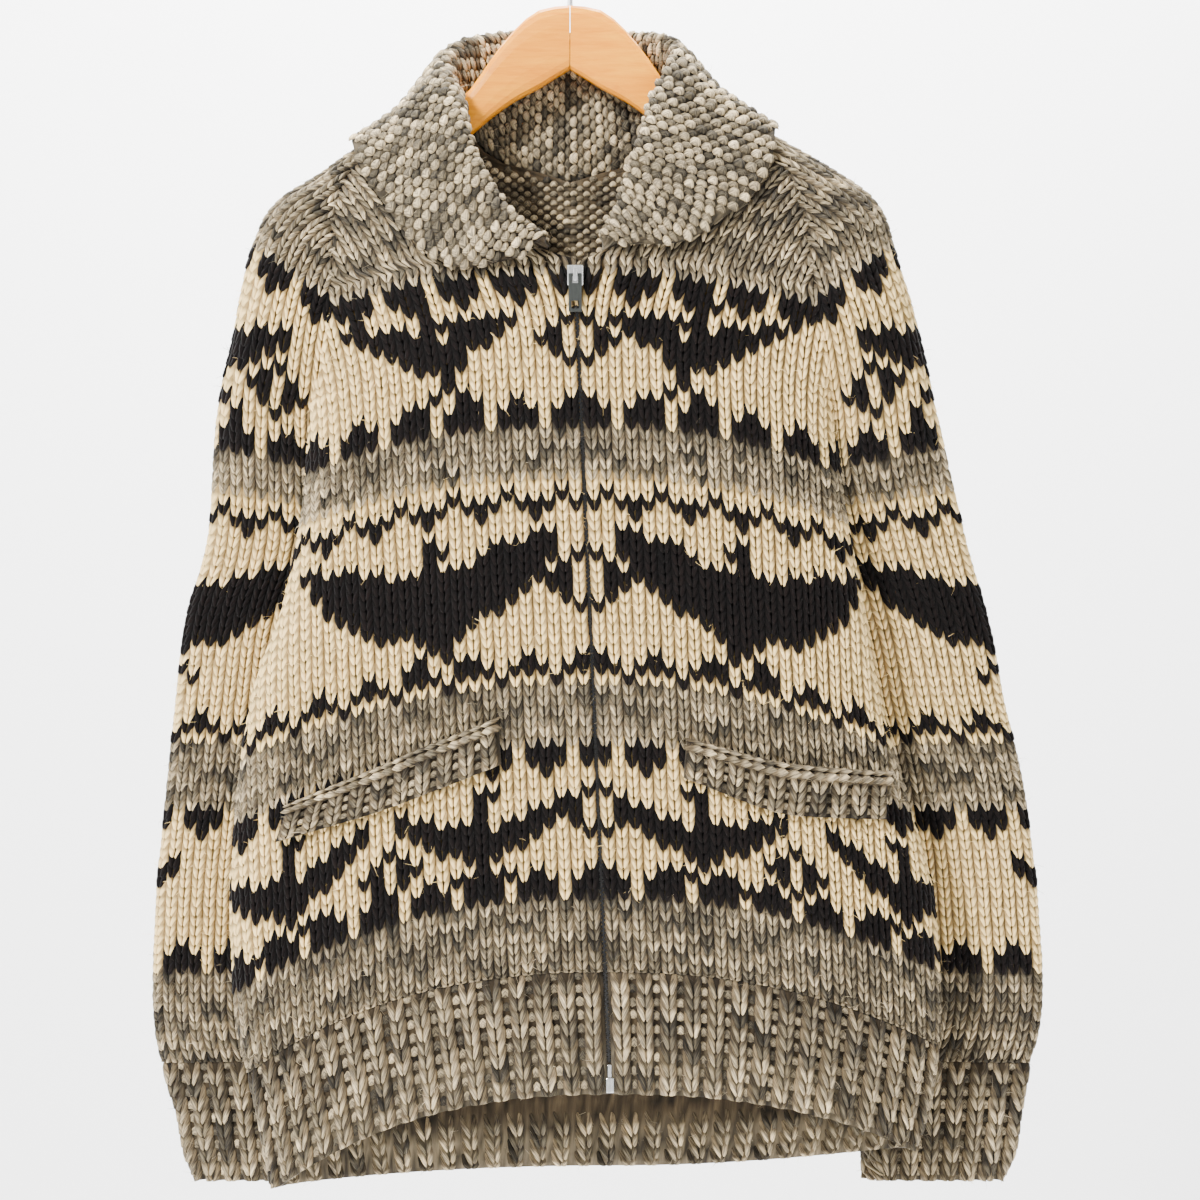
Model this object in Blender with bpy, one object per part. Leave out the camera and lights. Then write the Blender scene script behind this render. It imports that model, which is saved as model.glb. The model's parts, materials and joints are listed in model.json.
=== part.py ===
# Hand-knit zipped cardigan with a shawl collar, hanging on a plain wooden hanger.
# Tables and sizes are in millimetres and the objects in metres, +Z up, the front facing -Y.
# A drop is measured down from the crest of the hanger's wood, and left is the viewer's left.
# The origin is the inside top of the hanger's hook, where the rail that carries it bears.

from types import SimpleNamespace
import math

import bmesh
import bpy
import numpy as np
from mathutils import Vector

MM = 0.001
HOOK_RISE = 52.0        # inside top of the hook above the crest of the wood
WALL = 6.5              # bulky two-ply knit
SEAM = 0.5              # space left between two sewn pieces
RIB_PITCH = 16.5        # one knit column and one purl valley
RIB_RISE = 2.6
PER_RIB = 3             # columns of points to a rib
LEFT, RIGHT = -1, 1
SIDE_NAMES = {LEFT: "left", RIGHT: "right"}
SIDE = "side"
SIDEWAYS = Vector((1, 0, 1))


class Table:
    """Rows of named columns, read smoothly between the rows by the first column."""

    def __init__(self, columns, *rows):
        self.columns = columns.split()
        self.values = np.array(rows, float)
        self.keys = self.values[:, 0]
        slopes = np.diff(self.values, axis=0) / np.diff(self.keys)[:, None]
        self.tangents = np.zeros_like(self.values)
        self.tangents[0], self.tangents[-1] = slopes[0], slopes[-1]
        before, after = slopes[:-1], slopes[1:]
        same_way = before * after > 0
        total = np.where(same_way, before + after, 1.0)
        self.tangents[1:-1] = np.where(same_way, 2 * before * after / total, 0.0)

    def at(self, key):
        key = min(max(key, self.keys[0]), self.keys[-1])
        row = min(int(np.searchsorted(self.keys, key, side="right")) - 1, len(self.keys) - 2)
        step = self.keys[row + 1] - self.keys[row]
        t = (key - self.keys[row]) / step
        found = (
            (1 + 2 * t) * (1 - t) ** 2 * self.values[row]
            + t * (1 - t) ** 2 * step * self.tangents[row]
            + t * t * (3 - 2 * t) * self.values[row + 1]
            + t * t * (t - 1) * step * self.tangents[row + 1]
        )
        return SimpleNamespace(**dict(zip(self.columns, found)))


def of_side(row, side):
    return row.left if side == LEFT else row.right


def smooth_step(low, high, value):
    t = min(max((value - low) / (high - low), 0.0), 1.0)
    return t * t * (3 - 2 * t)


# Outer outline of the shoulders, and how far front and back stand from the hanger's plane.
YOKE = Table(
    "drop left right front back",
    (64, 92, 97, 20, 18),
    (85, 124, 130, 27, 22),
    (106, 158, 168, 32, 25),
    (120, 177, 191, 35, 26),
    (134, 200, 210, 37, 27),
    (148, 212, 219, 39, 28),
    (175, 222, 226, 42, 29),
    (203, 228, 235, 44, 29),
    (230, 233, 242, 45, 28),
    (272, 243, 252, 46, 27),
)

# Outer outline of the body tube from the underarm to the hem; square is how boxy its section is.
BODY = Table(
    "drop left right front back square",
    (272, 181, 183, 46, 27, 3.4),
    (300, 182, 185, 46, 25, 3.0),
    (341, 185, 190, 46, 24, 2.7),
    (410, 198, 203, 45, 24, 2.4),
    (479, 221, 215, 45, 24, 2.3),
    (548, 231, 234, 44, 24, 2.3),
    (617, 235, 252, 43, 25, 2.3),
    (686, 233, 257, 43, 26, 2.3),
    (755, 218, 249, 42, 28, 2.3),
    (820, 205, 224, 42, 30, 2.3),
)

# Knitted rows: each leaves the left side at this drop and arches up to the zip.
ROWS = Table(
    "side_left centre side_right back",
    (66, 52, 66, 60),
    (112, 88, 112, 105),
    (150, 126, 150, 142),
    (207, 186, 207, 199),
    (272, 243, 272, 264),
    (373, 340, 371, 366),
    (502, 451, 496, 495),
    (611, 550, 600, 603),
    (735, 662, 716, 724),
    (815, 745, 788, 804),
)
FRONT_ARCH = 2.3        # how late a front row drops away from the zip
BACK_ARCH = 2.0

# Raglan seam, the same on front and back, from the neck to the underarm.
RAGLAN = Table(
    "drop left right",
    (74, 80, 84),
    (84, 97, 101),
    (96, 119, 124),
    (112, 146, 146),
    (128, 157, 155),
    (159, 161, 162),
    (207, 163.5, 168),
    (241, 169, 174.5),
    (272, 176, 178),
)

# Neck edge of the fronts and of the back, as a distance from the middle.
FRONT_NECK = Table(
    "drop left right",
    (74, 72, 76),
    (84, 76, 78),
    (96, 79, 79),
    (114, 76, 73),
    (133, 68, 64),
    (150, 55, 54),
    (165, 36, 40),
    (172, 20, 28),
    (180, 0, 7),
)
BACK_NECK = Table(
    "drop left right",
    (74, 72, 76),
    (84, 70, 73),
    (96, 62, 64),
    (106, 46, 48),
    (112, 22, 24),
    (114, 0, 0),
)

# Outer outline of the sleeves, by the drop of their outer edge.
SLEEVE_EDGE = Table(
    "drop left right",
    (62, 89, 94),
    (85, 124, 130),
    (106, 158, 168),
    (120, 177, 191),
    (134, 200, 210),
    (148, 212, 219),
    (175, 222, 226),
    (203, 228, 235),
    (230, 233, 242),
    (272, 243, 252),
    (313, 249, 263),
    (355, 252.5, 274),
    (382, 258, 281.5),
    (410, 267, 290),
    (437, 273, 297),
    (479, 278, 305),
    (534, 284, 318),
    (575, 288, 324),
    (617, 292, 329),
    (686, 294.5, 333),
    (713, 293, 330),
    (741, 286, 322),
    (769, 277, 317),
    (796, 272, 313),
    (820, 262, 302),
)

# Sleeve rows by the drop of their inner end: the drop of the outer edge, and below the underarm
# the hidden inner edge, the tube's middle and half depth, how far its inner edge bows, and how
# far its two layers swell apart.
SLEEVE = Table(
    "drop ridge left right middle depth bow swell",
    (74, 62, 80, 84, 0, 12, 0, 0),
    (84, 72, 97, 101, 0, 12, 0, 0),
    (96, 84, 119, 124, 0, 12, 0, 0),
    (112, 101, 146, 146, 0, 12, 0, 0),
    (128, 110, 157, 155, 0, 12, 0, 0),
    (159, 128, 161, 162, 0, 12, 0, 1),
    (207, 168, 164, 168, 0, 12, 0, 3),
    (241, 208, 170, 175, 0, 12, 0, 7),
    (262, 235, 177, 180, -3, 12, 1, 11),
    (272, 247, 186, 188, -3, 12, 2, 12),
    (300, 282, 181, 184, 6, 14, 4, 8),
    (340, 328, 166, 171, 22, 16, 6, 3),
    (400, 394, 152, 165, 38, 17, 8, 1),
    (480, 478, 155, 175, 43, 17, 8, 1),
    (560, 560, 166, 190, 44, 17, 8, 1),
    (640, 642, 178, 205, 45, 16, 8, 0),
    (731, 734, 190, 214, 46, 15, 8, 0),
    (818, 819, 188, 216, 46, 14, 8, 0),
)
UNDERARM = 272
CUFF_TOP = 731
CUFF_END = 815
RIB_TOP = 735           # where the row that starts the hem's rib meets the left side
HEM = 815

# Rows of points on the panels, by the drop where each meets the left side.
YOKE_ROWS = (74, 84, 96, 112, 128, 150, 175, 200, 222, 242, 261)
BODY_ROWS = (272, 300, 340, 385, 430, 480, 530, 580, 630, 685, RIB_TOP)
HEM_ROWS = (RIB_TOP, 762, 789, HEM)
SLEEVE_ROWS = (272, 300, 335, 370, 410, 460, 520, 580, 640, 690, CUFF_TOP)
CUFF_ROWS = (CUFF_TOP, 759, 787, CUFF_END)

# Soft folds that run down the cloth: where, how wide, and how far each stands out or sinks.
FOLDS = (
    dict(x=-150, top=250, end=470, wide=16, out=3.0),
    dict(x=-112, top=300, end=640, wide=20, out=-3.0),
    dict(x=-165, top=520, end=800, wide=20, out=3.5),
    dict(x=60, top=330, end=560, wide=24, out=2.5),
    dict(x=128, top=260, end=500, wide=18, out=-3.0),
    dict(x=170, top=430, end=760, wide=22, out=3.5),
    dict(x=-60, top=560, end=790, wide=24, out=2.5),
    dict(x=95, top=600, end=790, wide=22, out=-2.5),
)

# The collar, half by half: how far along from the back's middle, then its seam, its fold and
# its free edge, each as a distance from the middle, a depth behind the hanger's plane and a drop.
COLLAR = {
    LEFT: Table(
        "along seam_x seam_y seam_drop fold_x fold_y fold_drop edge_x edge_y edge_drop",
        (0.00, 0, 26, 111, 0, 24, 15, 0, 44, 126),
        (0.16, 40, 25, 103, 40, 22, 15, 62, 42, 126),
        (0.30, 66.5, 18, 80.5, 70, 14, 20, 108, 34, 118),
        (0.42, 76, 6, 60, 87, 2, 36, 137, 14, 98),
        (0.52, 76, -9, 60, 85, -22, 51, 147, -8, 100),
        (0.62, 71, -25.5, 80.5, 77, -38, 68, 140, -24, 120),
        (0.74, 72, -34.5, 107, 69, -50, 95, 124, -36, 143),
        (0.86, 66, -40, 133, 58, -56, 120, 103, -46, 165),
        (0.94, 44, -43, 153, 39, -58, 148, 70, -52, 179),
        (1.00, 15, -43, 167.5, 19, -58, 165, 30, -54, 171),
    ),
    RIGHT: Table(
        "along seam_x seam_y seam_drop fold_x fold_y fold_drop edge_x edge_y edge_drop",
        (0.00, 0, 26, 111, 0, 24, 15, 0, 44, 126),
        (0.16, 42, 25, 104, 36, 22, 15, 60, 42, 126),
        (0.30, 70, 18, 81, 59, 14, 17, 104, 34, 116),
        (0.42, 80, 6, 60, 73, 2, 28, 132, 14, 92),
        (0.52, 80, -9, 59.5, 67, -22, 46, 140, -8, 88),
        (0.62, 74, -25.5, 80, 55, -38, 70, 138, -24, 106),
        (0.74, 72, -34.5, 105, 49, -48, 93, 127, -36, 131),
        (0.86, 64, -40, 130, 40, -56, 118, 105, -46, 150),
        (0.94, 46, -43, 155, 32, -58, 146, 70, -52, 169),
        (1.00, 22, -43, 169.5, 24, -58, 164, 34, -54, 170),
    ),
}
COLLAR_ROLL = 8.0       # how far the fold's roll reaches to either side
COLLAR_STATIONS = 18    # sections in each half
COLLAR_COLUMNS = 12     # points in a section

# Pocket bands, by how far along from the end near the zip: their top and lower edges.
POCKET = {
    LEFT: Table(
        "along top_x top_drop low_x low_drop",
        (0.0, 48, 491, 64, 527),
        (0.5, 118, 519, 126, 559),
        (1.0, 186, 551, 198, 576),
    ),
    RIGHT: Table(
        "along top_x top_drop low_x low_drop",
        (0.0, 79, 503, 77, 530),
        (0.5, 150, 521, 152, 556),
        (1.0, 214, 528, 214, 560),
    ),
}
POCKET_WALL = 5.5
POCKET_RIBS = 10

# Zip: teeth and tapes run down between the fronts; slider and pull sit at its top.
ZIP_TOP = 180.0
ZIP_END = 745.0
ZIP_EDGE = 3.2          # from the zip's line to the edge of each front
TAPE_INNER = 1.2        # from the zip's line to the edge of each tape
TAPE_OUTER = 14.0
TAPE_WALL = 1.2
SLIDER_DROP = 190.0
SLIDER_WIDTH = 11.0
SLIDER_LENGTH = 14.0
PULL_LENGTH = 25.0
PULL_WIDTH = 9.0
PULL_WALL = 1.8

# Hanger: its wood's top and lower edges by the distance from the middle.
WOOD = Table(
    "reach top low half_depth",
    (0, 0, 44, 9),
    (10, 0.6, 50, 9),
    (21, 3, 57, 9),
    (38, 16.5, 66, 9),
    (55, 38, 78, 9),
    (69, 58, 90, 9),
    (90, 76, 104, 8.5),
    (124, 98, 122, 8),
    (158, 119.5, 139, 7),
    (185, 139, 153, 6),
    (200, 151, 160, 4),
)
WIRE = 2.0              # radius of the hook's wire
HOOK_RADIUS = 20.0


def fold_out(x, drop):
    """How far the folds move the front or back outward here."""
    out = 0.0
    for fold in FOLDS:
        across = math.exp(-(((x - fold["x"]) / fold["wide"]) ** 2))
        along = min(max((drop - fold["top"]) / (fold["end"] - fold["top"]), 0.0), 1.0)
        out += fold["out"] * across * math.sin(math.pi * along) ** 2
    return out


def zip_x(drop):
    """The zip hangs a little out of plumb."""
    lean = 0.043
    return 3.5 + lean * (drop - ZIP_TOP)


def bulge(across, square):
    return max(0.0, 1 - min(abs(across), 1.0) ** square) ** (1 / square)


def half_width(outline, side, drop):
    """From the zip's line to the middle of the wall at the side."""
    return of_side(outline, side) - WALL / 2 - side * zip_x(drop)


def face_depth(x, drop, face):
    """How far the wall's middle stands from the hanger's plane; face is front or back."""
    side = LEFT if x < zip_x(drop) else RIGHT
    yoke = YOKE.at(drop)
    body = BODY.at(drop)
    reach = abs(x - zip_x(drop))
    on_yoke = bulge(reach / half_width(yoke, side, drop), 2)
    on_body = bulge(reach / half_width(body, side, drop), body.square)
    part = smooth_step(215, UNDERARM, drop)
    depth = (1 - part) * getattr(yoke, face) * on_yoke + part * getattr(body, face) * on_body
    return depth + fold_out(x, drop) * min(on_yoke, on_body)


def place(x, y, drop):
    return np.array((x, y, -HOOK_RISE - drop))


def panel_point(x, drop, face):
    depth = face_depth(x, drop, face)
    return place(x, -depth if face == "front" else depth, drop)


def panel_normal(x, drop, face):
    """The way a panel looks here, out of the garment."""
    small = 0.5
    inward = small if x < zip_x(drop) else -small
    here = panel_point(x, drop, face)
    across = (panel_point(x + inward, drop, face) - here) / inward
    along = panel_point(x, drop + small, face) - here
    normal = np.cross(across, along)
    outward = -1 if face == "front" else 1
    return normal * math.copysign(1, normal[1] * outward) / np.linalg.norm(normal)


def line_lengths(points):
    return np.concatenate([[0.0], np.cumsum(np.linalg.norm(np.diff(points, axis=0), axis=1))])


def read_line(points, lengths, wanted):
    return np.stack([np.interp(wanted, lengths, points[:, axis]) for axis in range(3)], axis=1)


def spaced(points, count, start=0.0, end=0.0):
    """The same line with this many points evenly along it, cut short at its two ends."""
    points = np.array(points, float)
    lengths = line_lengths(points)
    return read_line(points, lengths, np.linspace(start, lengths[-1] - end, count))


def yoke_level(point):
    """Below zero inside the shoulders' wall, zero on its middle and above zero outside."""
    x, y, z = point
    drop = -HOOK_RISE - z
    yoke = YOKE.at(drop)
    side = LEFT if x < zip_x(drop) else RIGHT
    narrowing = 1.55 * max(0.0, YOKE.keys[0] - drop)
    half = max(half_width(yoke, side, drop) - narrowing, 5.0)
    depth = yoke.front if y < 0 else yoke.back
    return ((x - zip_x(drop)) / half) ** 2 + (y / depth) ** 2 - 1


def body_level(point):
    x, y, z = point
    drop = -HOOK_RISE - z
    body = BODY.at(drop)
    side = LEFT if x < zip_x(drop) else RIGHT
    depth = body.front if y < 0 else body.back
    across = abs(x - zip_x(drop)) / half_width(body, side, drop)
    return across**body.square + (abs(y) / depth) ** body.square - 1


def kept_off(point, level, gap):
    """The point moved out until it is this far from the surface where level is zero."""
    point = np.array(point, float)
    small = 0.05
    for _ in range(6):
        here = level(point)
        slope = np.array([(level(point + small * axis) - here) / small for axis in np.eye(3)])
        steep = float(np.linalg.norm(slope))
        if steep < 1e-9:
            break
        distance = here / steep
        if distance >= gap - 0.01:
            break
        point = point + slope / steep * min(gap - distance, 4.0)
    return point


def seam_room(drop, side):
    """How far a piece stays from the raglan's line sideways, to leave SEAM across the seam."""
    small = 1.0
    before = of_side(RAGLAN.at(drop - small), side)
    after = of_side(RAGLAN.at(drop + small), side)
    slope = abs(after - before) / (2 * small)
    return SEAM / 2 * math.hypot(1, slope)


def neck_crossing(neck, row_drop, outer, side):
    """Where a row meets the neck edge, as a distance from the middle."""
    low, high = 0.0, outer
    for _ in range(30):
        reach = (low + high) / 2
        drop = row_drop(reach)
        in_neck = drop < neck.keys[-1] and reach < of_side(neck.at(drop), side)
        low, high = (reach, high) if in_neck else (low, reach)
    return high


def half_row(side_drop, side, face):
    """One knitted row of a front or of half the back, from its middle end to the seam or side."""
    steps = 48
    row = ROWS.at(side_drop)
    is_front = face == "front"
    sign = -1 if is_front else 1
    arch = FRONT_ARCH if is_front else BACK_ARCH
    start = row.centre if is_front else row.back
    end = row.side_left if side == LEFT else row.side_right
    points = []
    if side_drop < UNDERARM:
        outer = of_side(RAGLAN.at(end), side) - seam_room(end, side)

        def row_drop(reach):
            return start + (end - start) * (reach / outer) ** arch

        neck = FRONT_NECK if is_front else BACK_NECK
        inner = neck_crossing(neck, row_drop, outer, side)
        if is_front and inner < 9:
            inner = side * zip_x(start)
        for step in range(steps + 1):
            reach = inner + (outer - inner) * step / steps
            drop = row_drop(max(reach, 0.0))
            points.append(place(side * reach, sign * face_depth(side * reach, drop, face), drop))
        return np.array(points)
    for step in range(steps + 1):
        turn = math.pi / 2 * step / steps
        across = math.sin(turn) ** (2 / BODY.at(end).square)
        drop = start + (end - start) * across**arch
        body = BODY.at(drop)
        across = math.sin(turn) ** (2 / body.square)
        x = zip_x(drop) + side * half_width(body, side, drop) * across
        depth = getattr(body, face) * max(math.cos(turn), 0.0) ** (2 / body.square)
        depth += fold_out(x, drop) * max(math.cos(turn), 0.0)
        points.append(place(x, sign * depth, drop))
    return np.array(points)


def new_material(name, colour, roughness, metallic=0.0):
    material = bpy.data.materials.new(name)
    material.use_nodes = True
    shader = material.node_tree.nodes["Principled BSDF"]
    shader.inputs["Base Color"].default_value = (*colour, 1.0)
    shader.inputs["Roughness"].default_value = roughness
    shader.inputs["Metallic"].default_value = metallic
    return material


def new_object(name, bm, material):
    """Finishes a bmesh that is in millimetres as a named object of the part."""
    bmesh.ops.scale(bm, vec=(MM, MM, MM), verts=bm.verts)
    mesh = bpy.data.meshes.new(name)
    bm.to_mesh(mesh)
    bm.free()
    mesh.materials.append(material)
    mesh.shade_smooth()
    mesh.set_sharp_from_angle(angle=math.radians(50))
    made = bpy.data.objects.new(name, mesh)
    parts.objects.link(made)
    return made


def strip(bm, above, below, closed=False):
    """Faces between two rows of points."""
    count = len(above)
    for column in range(count if closed else count - 1):
        after = (column + 1) % count
        bm.faces.new((above[column], below[column], below[after], above[after]))


def new_row(bm, points):
    return [bm.verts.new(point) for point in points]


def thickened(name, bm, material, wall=WALL, rises=None, looks_from=None, seams=None):
    """Turns the middle surface into a closed wall. rises lifts its outer points; inside is plain.

    seams gives the direction of the wall's edge at a seam, or SIDE where it faces sideways, so
    that two sewn edges lie along each other.
    """
    faces = list(bm.faces)
    middles = list(bm.verts)
    bm.normal_update()
    centre = np.mean([vert.co for vert in middles], axis=0) if looks_from is None else looks_from
    outward = sum(
        face.calc_area() * float(np.dot(face.normal, np.array(face.calc_center_median()) - centre))
        for face in faces
    )
    if outward < 0:
        bmesh.ops.reverse_faces(bm, faces=faces)
        bm.normal_update()
    rims = []
    for edge in bm.edges:
        if not edge.is_boundary:
            continue
        order = list(edge.link_faces[0].verts)
        first, second = edge.verts
        if order[(order.index(first) + 1) % len(order)] is not second:
            first, second = second, first
        rims.append((first, second))
    outer = {}
    inner = {}
    for index, vert in enumerate(middles):
        rise = rises[index] if rises else 0.0
        normal = vert.normal.copy()
        if seams and vert in seams:
            normal = normal * SIDEWAYS if seams[vert] is SIDE else Vector(seams[vert])
            normal.normalize()
        outer[vert] = vert.co + normal * (wall / 2 + rise)
        inner[vert] = bm.verts.new(vert.co - normal * (wall / 2))
    for face in faces:
        bm.faces.new([inner[vert] for vert in reversed(face.verts)])
    for first, second in rims:
        bm.faces.new((second, first, inner[first], inner[second]))
    for vert in middles:
        vert.co = outer[vert]
    return new_object(name, bm, material)


def rib_rise(column):
    """Height of the outer wall across one rib: its valley, then its two shoulders."""
    return RIB_RISE * (0.5 - 0.5 * math.cos(2 * math.pi * (column % PER_RIB) / PER_RIB))


def front_panel(side, material):
    bm = bmesh.new()
    rows = []
    for side_drop in YOKE_ROWS + BODY_ROWS:
        on_zip = ROWS.at(side_drop).centre > ZIP_TOP
        line = half_row(side_drop, side, "front")
        end = 0.0 if side_drop < UNDERARM else SEAM / 2
        rows.append(spaced(line, 15, ZIP_EDGE if on_zip else SEAM / 2, end))
    rows[-1][:, 2] += SEAM / 2
    made = [new_row(bm, row) for row in rows]
    for above, below in zip(made, made[1:]):
        strip(bm, above, below)
    seams = {row[-1]: SIDE for row in made[len(YOKE_ROWS) :]}
    for row, drop in zip(made, YOKE_ROWS):
        seams[row[-1]] = panel_normal(side * of_side(RAGLAN.at(drop), side), drop, "front")
    name = f"front_{SIDE_NAMES[side]}"
    return thickened(name, bm, material, looks_from=(0, 0, -450), seams=seams)


def back_halves(side_drop, count):
    end = 0.0 if side_drop < UNDERARM else SEAM / 2
    left = spaced(half_row(side_drop, LEFT, "back"), count, 0, end)
    right = spaced(half_row(side_drop, RIGHT, "back"), count, 0, end)
    return left[::-1], right


def back_panel(material):
    """The first rows are two runs, left and right of the neck, and meet below it."""
    bm = bmesh.new()
    above_left, above_right = [], []
    above = []
    seams = {}

    def note_seams(first, last, drop):
        for side, vert in ((LEFT, first), (RIGHT, last)):
            x = side * of_side(RAGLAN.at(drop), side)
            seams[vert] = panel_normal(x, drop, "back") if drop < UNDERARM else SIDE

    for side_drop in YOKE_ROWS + BODY_ROWS:
        left, right = back_halves(side_drop, 12)
        if side_drop == RIB_TOP:
            left[:, 2] += SEAM / 2
            right[:, 2] += SEAM / 2
        if ROWS.at(side_drop).back < BACK_NECK.keys[-1]:
            row_left, row_right = new_row(bm, left), new_row(bm, right)
            note_seams(row_left[0], row_right[-1], side_drop)
            if above_left:
                strip(bm, above_left, row_left)
                strip(bm, above_right, row_right)
            above_left, above_right = row_left, row_right
            continue
        row = new_row(bm, np.concatenate([left, right[1:]]))
        note_seams(row[0], row[-1], side_drop)
        if above:
            strip(bm, above, row)
        else:
            strip(bm, above_left, row[: len(left)])
            strip(bm, above_right, row[len(left) - 1 :])
        above = row
    return thickened("back", bm, material, looks_from=(0, 0, -450), seams=seams)


def hem_rib(name, lines, material, both_sides=False):
    """A ribbed band through rows of points, raised in columns on its outer side."""
    bm = bmesh.new()
    ribs = round(line_lengths(np.array(lines[0]))[-1] / RIB_PITCH)
    columns = ribs * PER_RIB + 1
    made = [new_row(bm, spaced(line, columns)) for line in lines]
    for above, below in zip(made, made[1:]):
        strip(bm, above, below)
    rises = [rib_rise(column) for _ in made for column in range(columns)]
    seams = {row[-1]: SIDE for row in made}
    if both_sides:
        seams.update({row[0]: SIDE for row in made})
    return thickened(name, bm, material, rises=rises, looks_from=(0, 0, -850), seams=seams)


def front_hem(side, material):
    lines = []
    for side_drop in HEM_ROWS:
        line = half_row(side_drop, side, "front")
        lines.append(spaced(line, 60, ZIP_EDGE, SEAM / 2))
    lines[0][:, 2] -= SEAM / 2
    return hem_rib(f"hem_front_{SIDE_NAMES[side]}", lines, material)


def back_hem(material):
    lines = []
    for side_drop in HEM_ROWS:
        left, right = back_halves(side_drop, 60)
        lines.append(np.concatenate([left, right[1:]]))
    lines[0][:, 2] -= SEAM / 2
    return hem_rib("hem_back", lines, material, both_sides=True)


def sleeve_ring(drop, side, outer_count, inner_count):
    """One row of the sleeve: front seam, over the outer edge, to the back seam, and inside back."""
    row = SLEEVE.at(drop)
    edge = of_side(SLEEVE_EDGE.at(row.ridge), side) - WALL / 2
    if drop < UNDERARM:
        inner = of_side(RAGLAN.at(drop), side) + seam_room(drop, side)
        front = -face_depth(side * inner, drop, "front")
        back = face_depth(side * inner, drop, "back")
    else:
        inner = of_side(row, side)
        front, back = row.middle - row.depth, row.middle + row.depth
    middle, half = (front + back) / 2, (back - front) / 2
    full = 0.86 if drop >= UNDERARM else 1.0
    line = []
    for step in range(49):
        turn = math.pi * step / 48
        reach = inner + (edge - inner) * max(math.sin(turn), 0.0) ** full
        tall = math.copysign(abs(math.cos(turn)) ** full, math.cos(turn))
        y = middle - half * tall - row.swell * math.sin(2 * turn)
        down = drop + (row.ridge - drop) * math.sin(turn)
        line.append(place(side * reach, y, down))
    gusset = []
    for step in range(17):
        turn = math.pi * step / 16
        reach = inner - row.bow * math.sin(turn)
        gusset.append(place(side * reach, middle + half * math.cos(turn), drop))
    if drop >= UNDERARM:
        clear = WALL + 2.0 + 1.6 * (1 - smooth_step(330, 380, drop))
        line = [kept_off(point, body_level, clear) for point in line]
        gusset = [kept_off(point, body_level, clear) for point in gusset]
        return spaced(line, outer_count), spaced(gusset, inner_count)[1:-1]
    crease = 3.1 * smooth_step(200, 250, drop)
    return spaced(line, outer_count, crease, crease), None


def sleeve(side, material):
    bm = bmesh.new()
    outer_count, inner_count = 17, 7
    above = None
    seams = {}
    for drop in YOKE_ROWS:
        row = new_row(bm, sleeve_ring(drop, side, outer_count, inner_count)[0])
        x = side * of_side(RAGLAN.at(drop), side)
        seams[row[0]] = panel_normal(x, drop, "front")
        seams[row[-1]] = panel_normal(x, drop, "back")
        if above:
            strip(bm, above, row)
        above = row
    for drop in SLEEVE_ROWS:
        outer, gusset = sleeve_ring(drop, side, outer_count, inner_count)
        if drop == CUFF_TOP:
            outer[:, 2] += SEAM
            gusset[:, 2] += SEAM
        row = new_row(bm, outer)
        ring = row + new_row(bm, gusset)
        if drop == UNDERARM:
            strip(bm, above, row)
        else:
            strip(bm, above, ring, closed=True)
        above = ring
    name = f"sleeve_{SIDE_NAMES[side]}"
    return thickened(name, bm, material, looks_from=(side * 215, 30, -500), seams=seams)


def cuff(side, material):
    bm = bmesh.new()
    rings = []
    for drop in CUFF_ROWS:
        outer, gusset = sleeve_ring(drop, side, 49, 17)
        rings.append(np.concatenate([outer, gusset, outer[:1]]))
    rings[0][:, 2] -= SEAM / 2
    ribs = round(line_lengths(rings[1])[-1] / RIB_PITCH)
    columns = ribs * PER_RIB
    made = [new_row(bm, spaced(ring, columns + 1)[:-1]) for ring in rings]
    for above, below in zip(made, made[1:]):
        strip(bm, above, below, closed=True)
    rises = [rib_rise(column) for _ in made for column in range(columns)]
    return thickened(f"cuff_{SIDE_NAMES[side]}", bm, material, rises=rises)


def bezier(points, count):
    a, b, c, d = points
    t = np.linspace(0, 1, count)[:, None]
    return a * (1 - t) ** 3 + 3 * b * t * (1 - t) ** 2 + 3 * c * t * t * (1 - t) + d * t**3


def collar_section(along, side):
    """From the neck seam up the stand, over the fold's roll and down the fall to the free edge."""
    row = COLLAR[side].at(along)
    seam = place(side * row.seam_x, row.seam_y, row.seam_drop)
    fold = place(side * row.fold_x, row.fold_y, row.fold_drop)
    edge = place(side * row.edge_x, row.edge_y, row.edge_drop)
    away = (seam - fold) + (edge - fold)
    away = away / np.linalg.norm(away)
    roll = (edge - seam) - away * float(np.dot(edge - seam, away))
    roll = COLLAR_ROLL * roll / np.linalg.norm(roll)
    stand = bezier((seam, seam + (fold - seam) * 0.45, fold - roll, fold), 24)
    fall = bezier((fold, fold + roll, edge + (fold - edge) * 0.45, edge), 24)
    off_yoke = WALL + 1.6
    fall = np.array([kept_off(point, yoke_level, off_yoke) if index > 5 else point
                     for index, point in enumerate(fall)])
    return spaced(np.concatenate([stand, fall[1:]]), COLLAR_COLUMNS)


def collar(material):
    bm = bmesh.new()
    stations = np.linspace(0, 1, COLLAR_STATIONS)
    rows = [collar_section(along, LEFT) for along in stations[::-1]]
    rows += [collar_section(along, RIGHT) for along in stations[1:]]
    made = [new_row(bm, row) for row in rows]
    for above, below in zip(made, made[1:]):
        strip(bm, above, below)
    return thickened("collar", bm, material, looks_from=(0, 10, -160))


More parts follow.
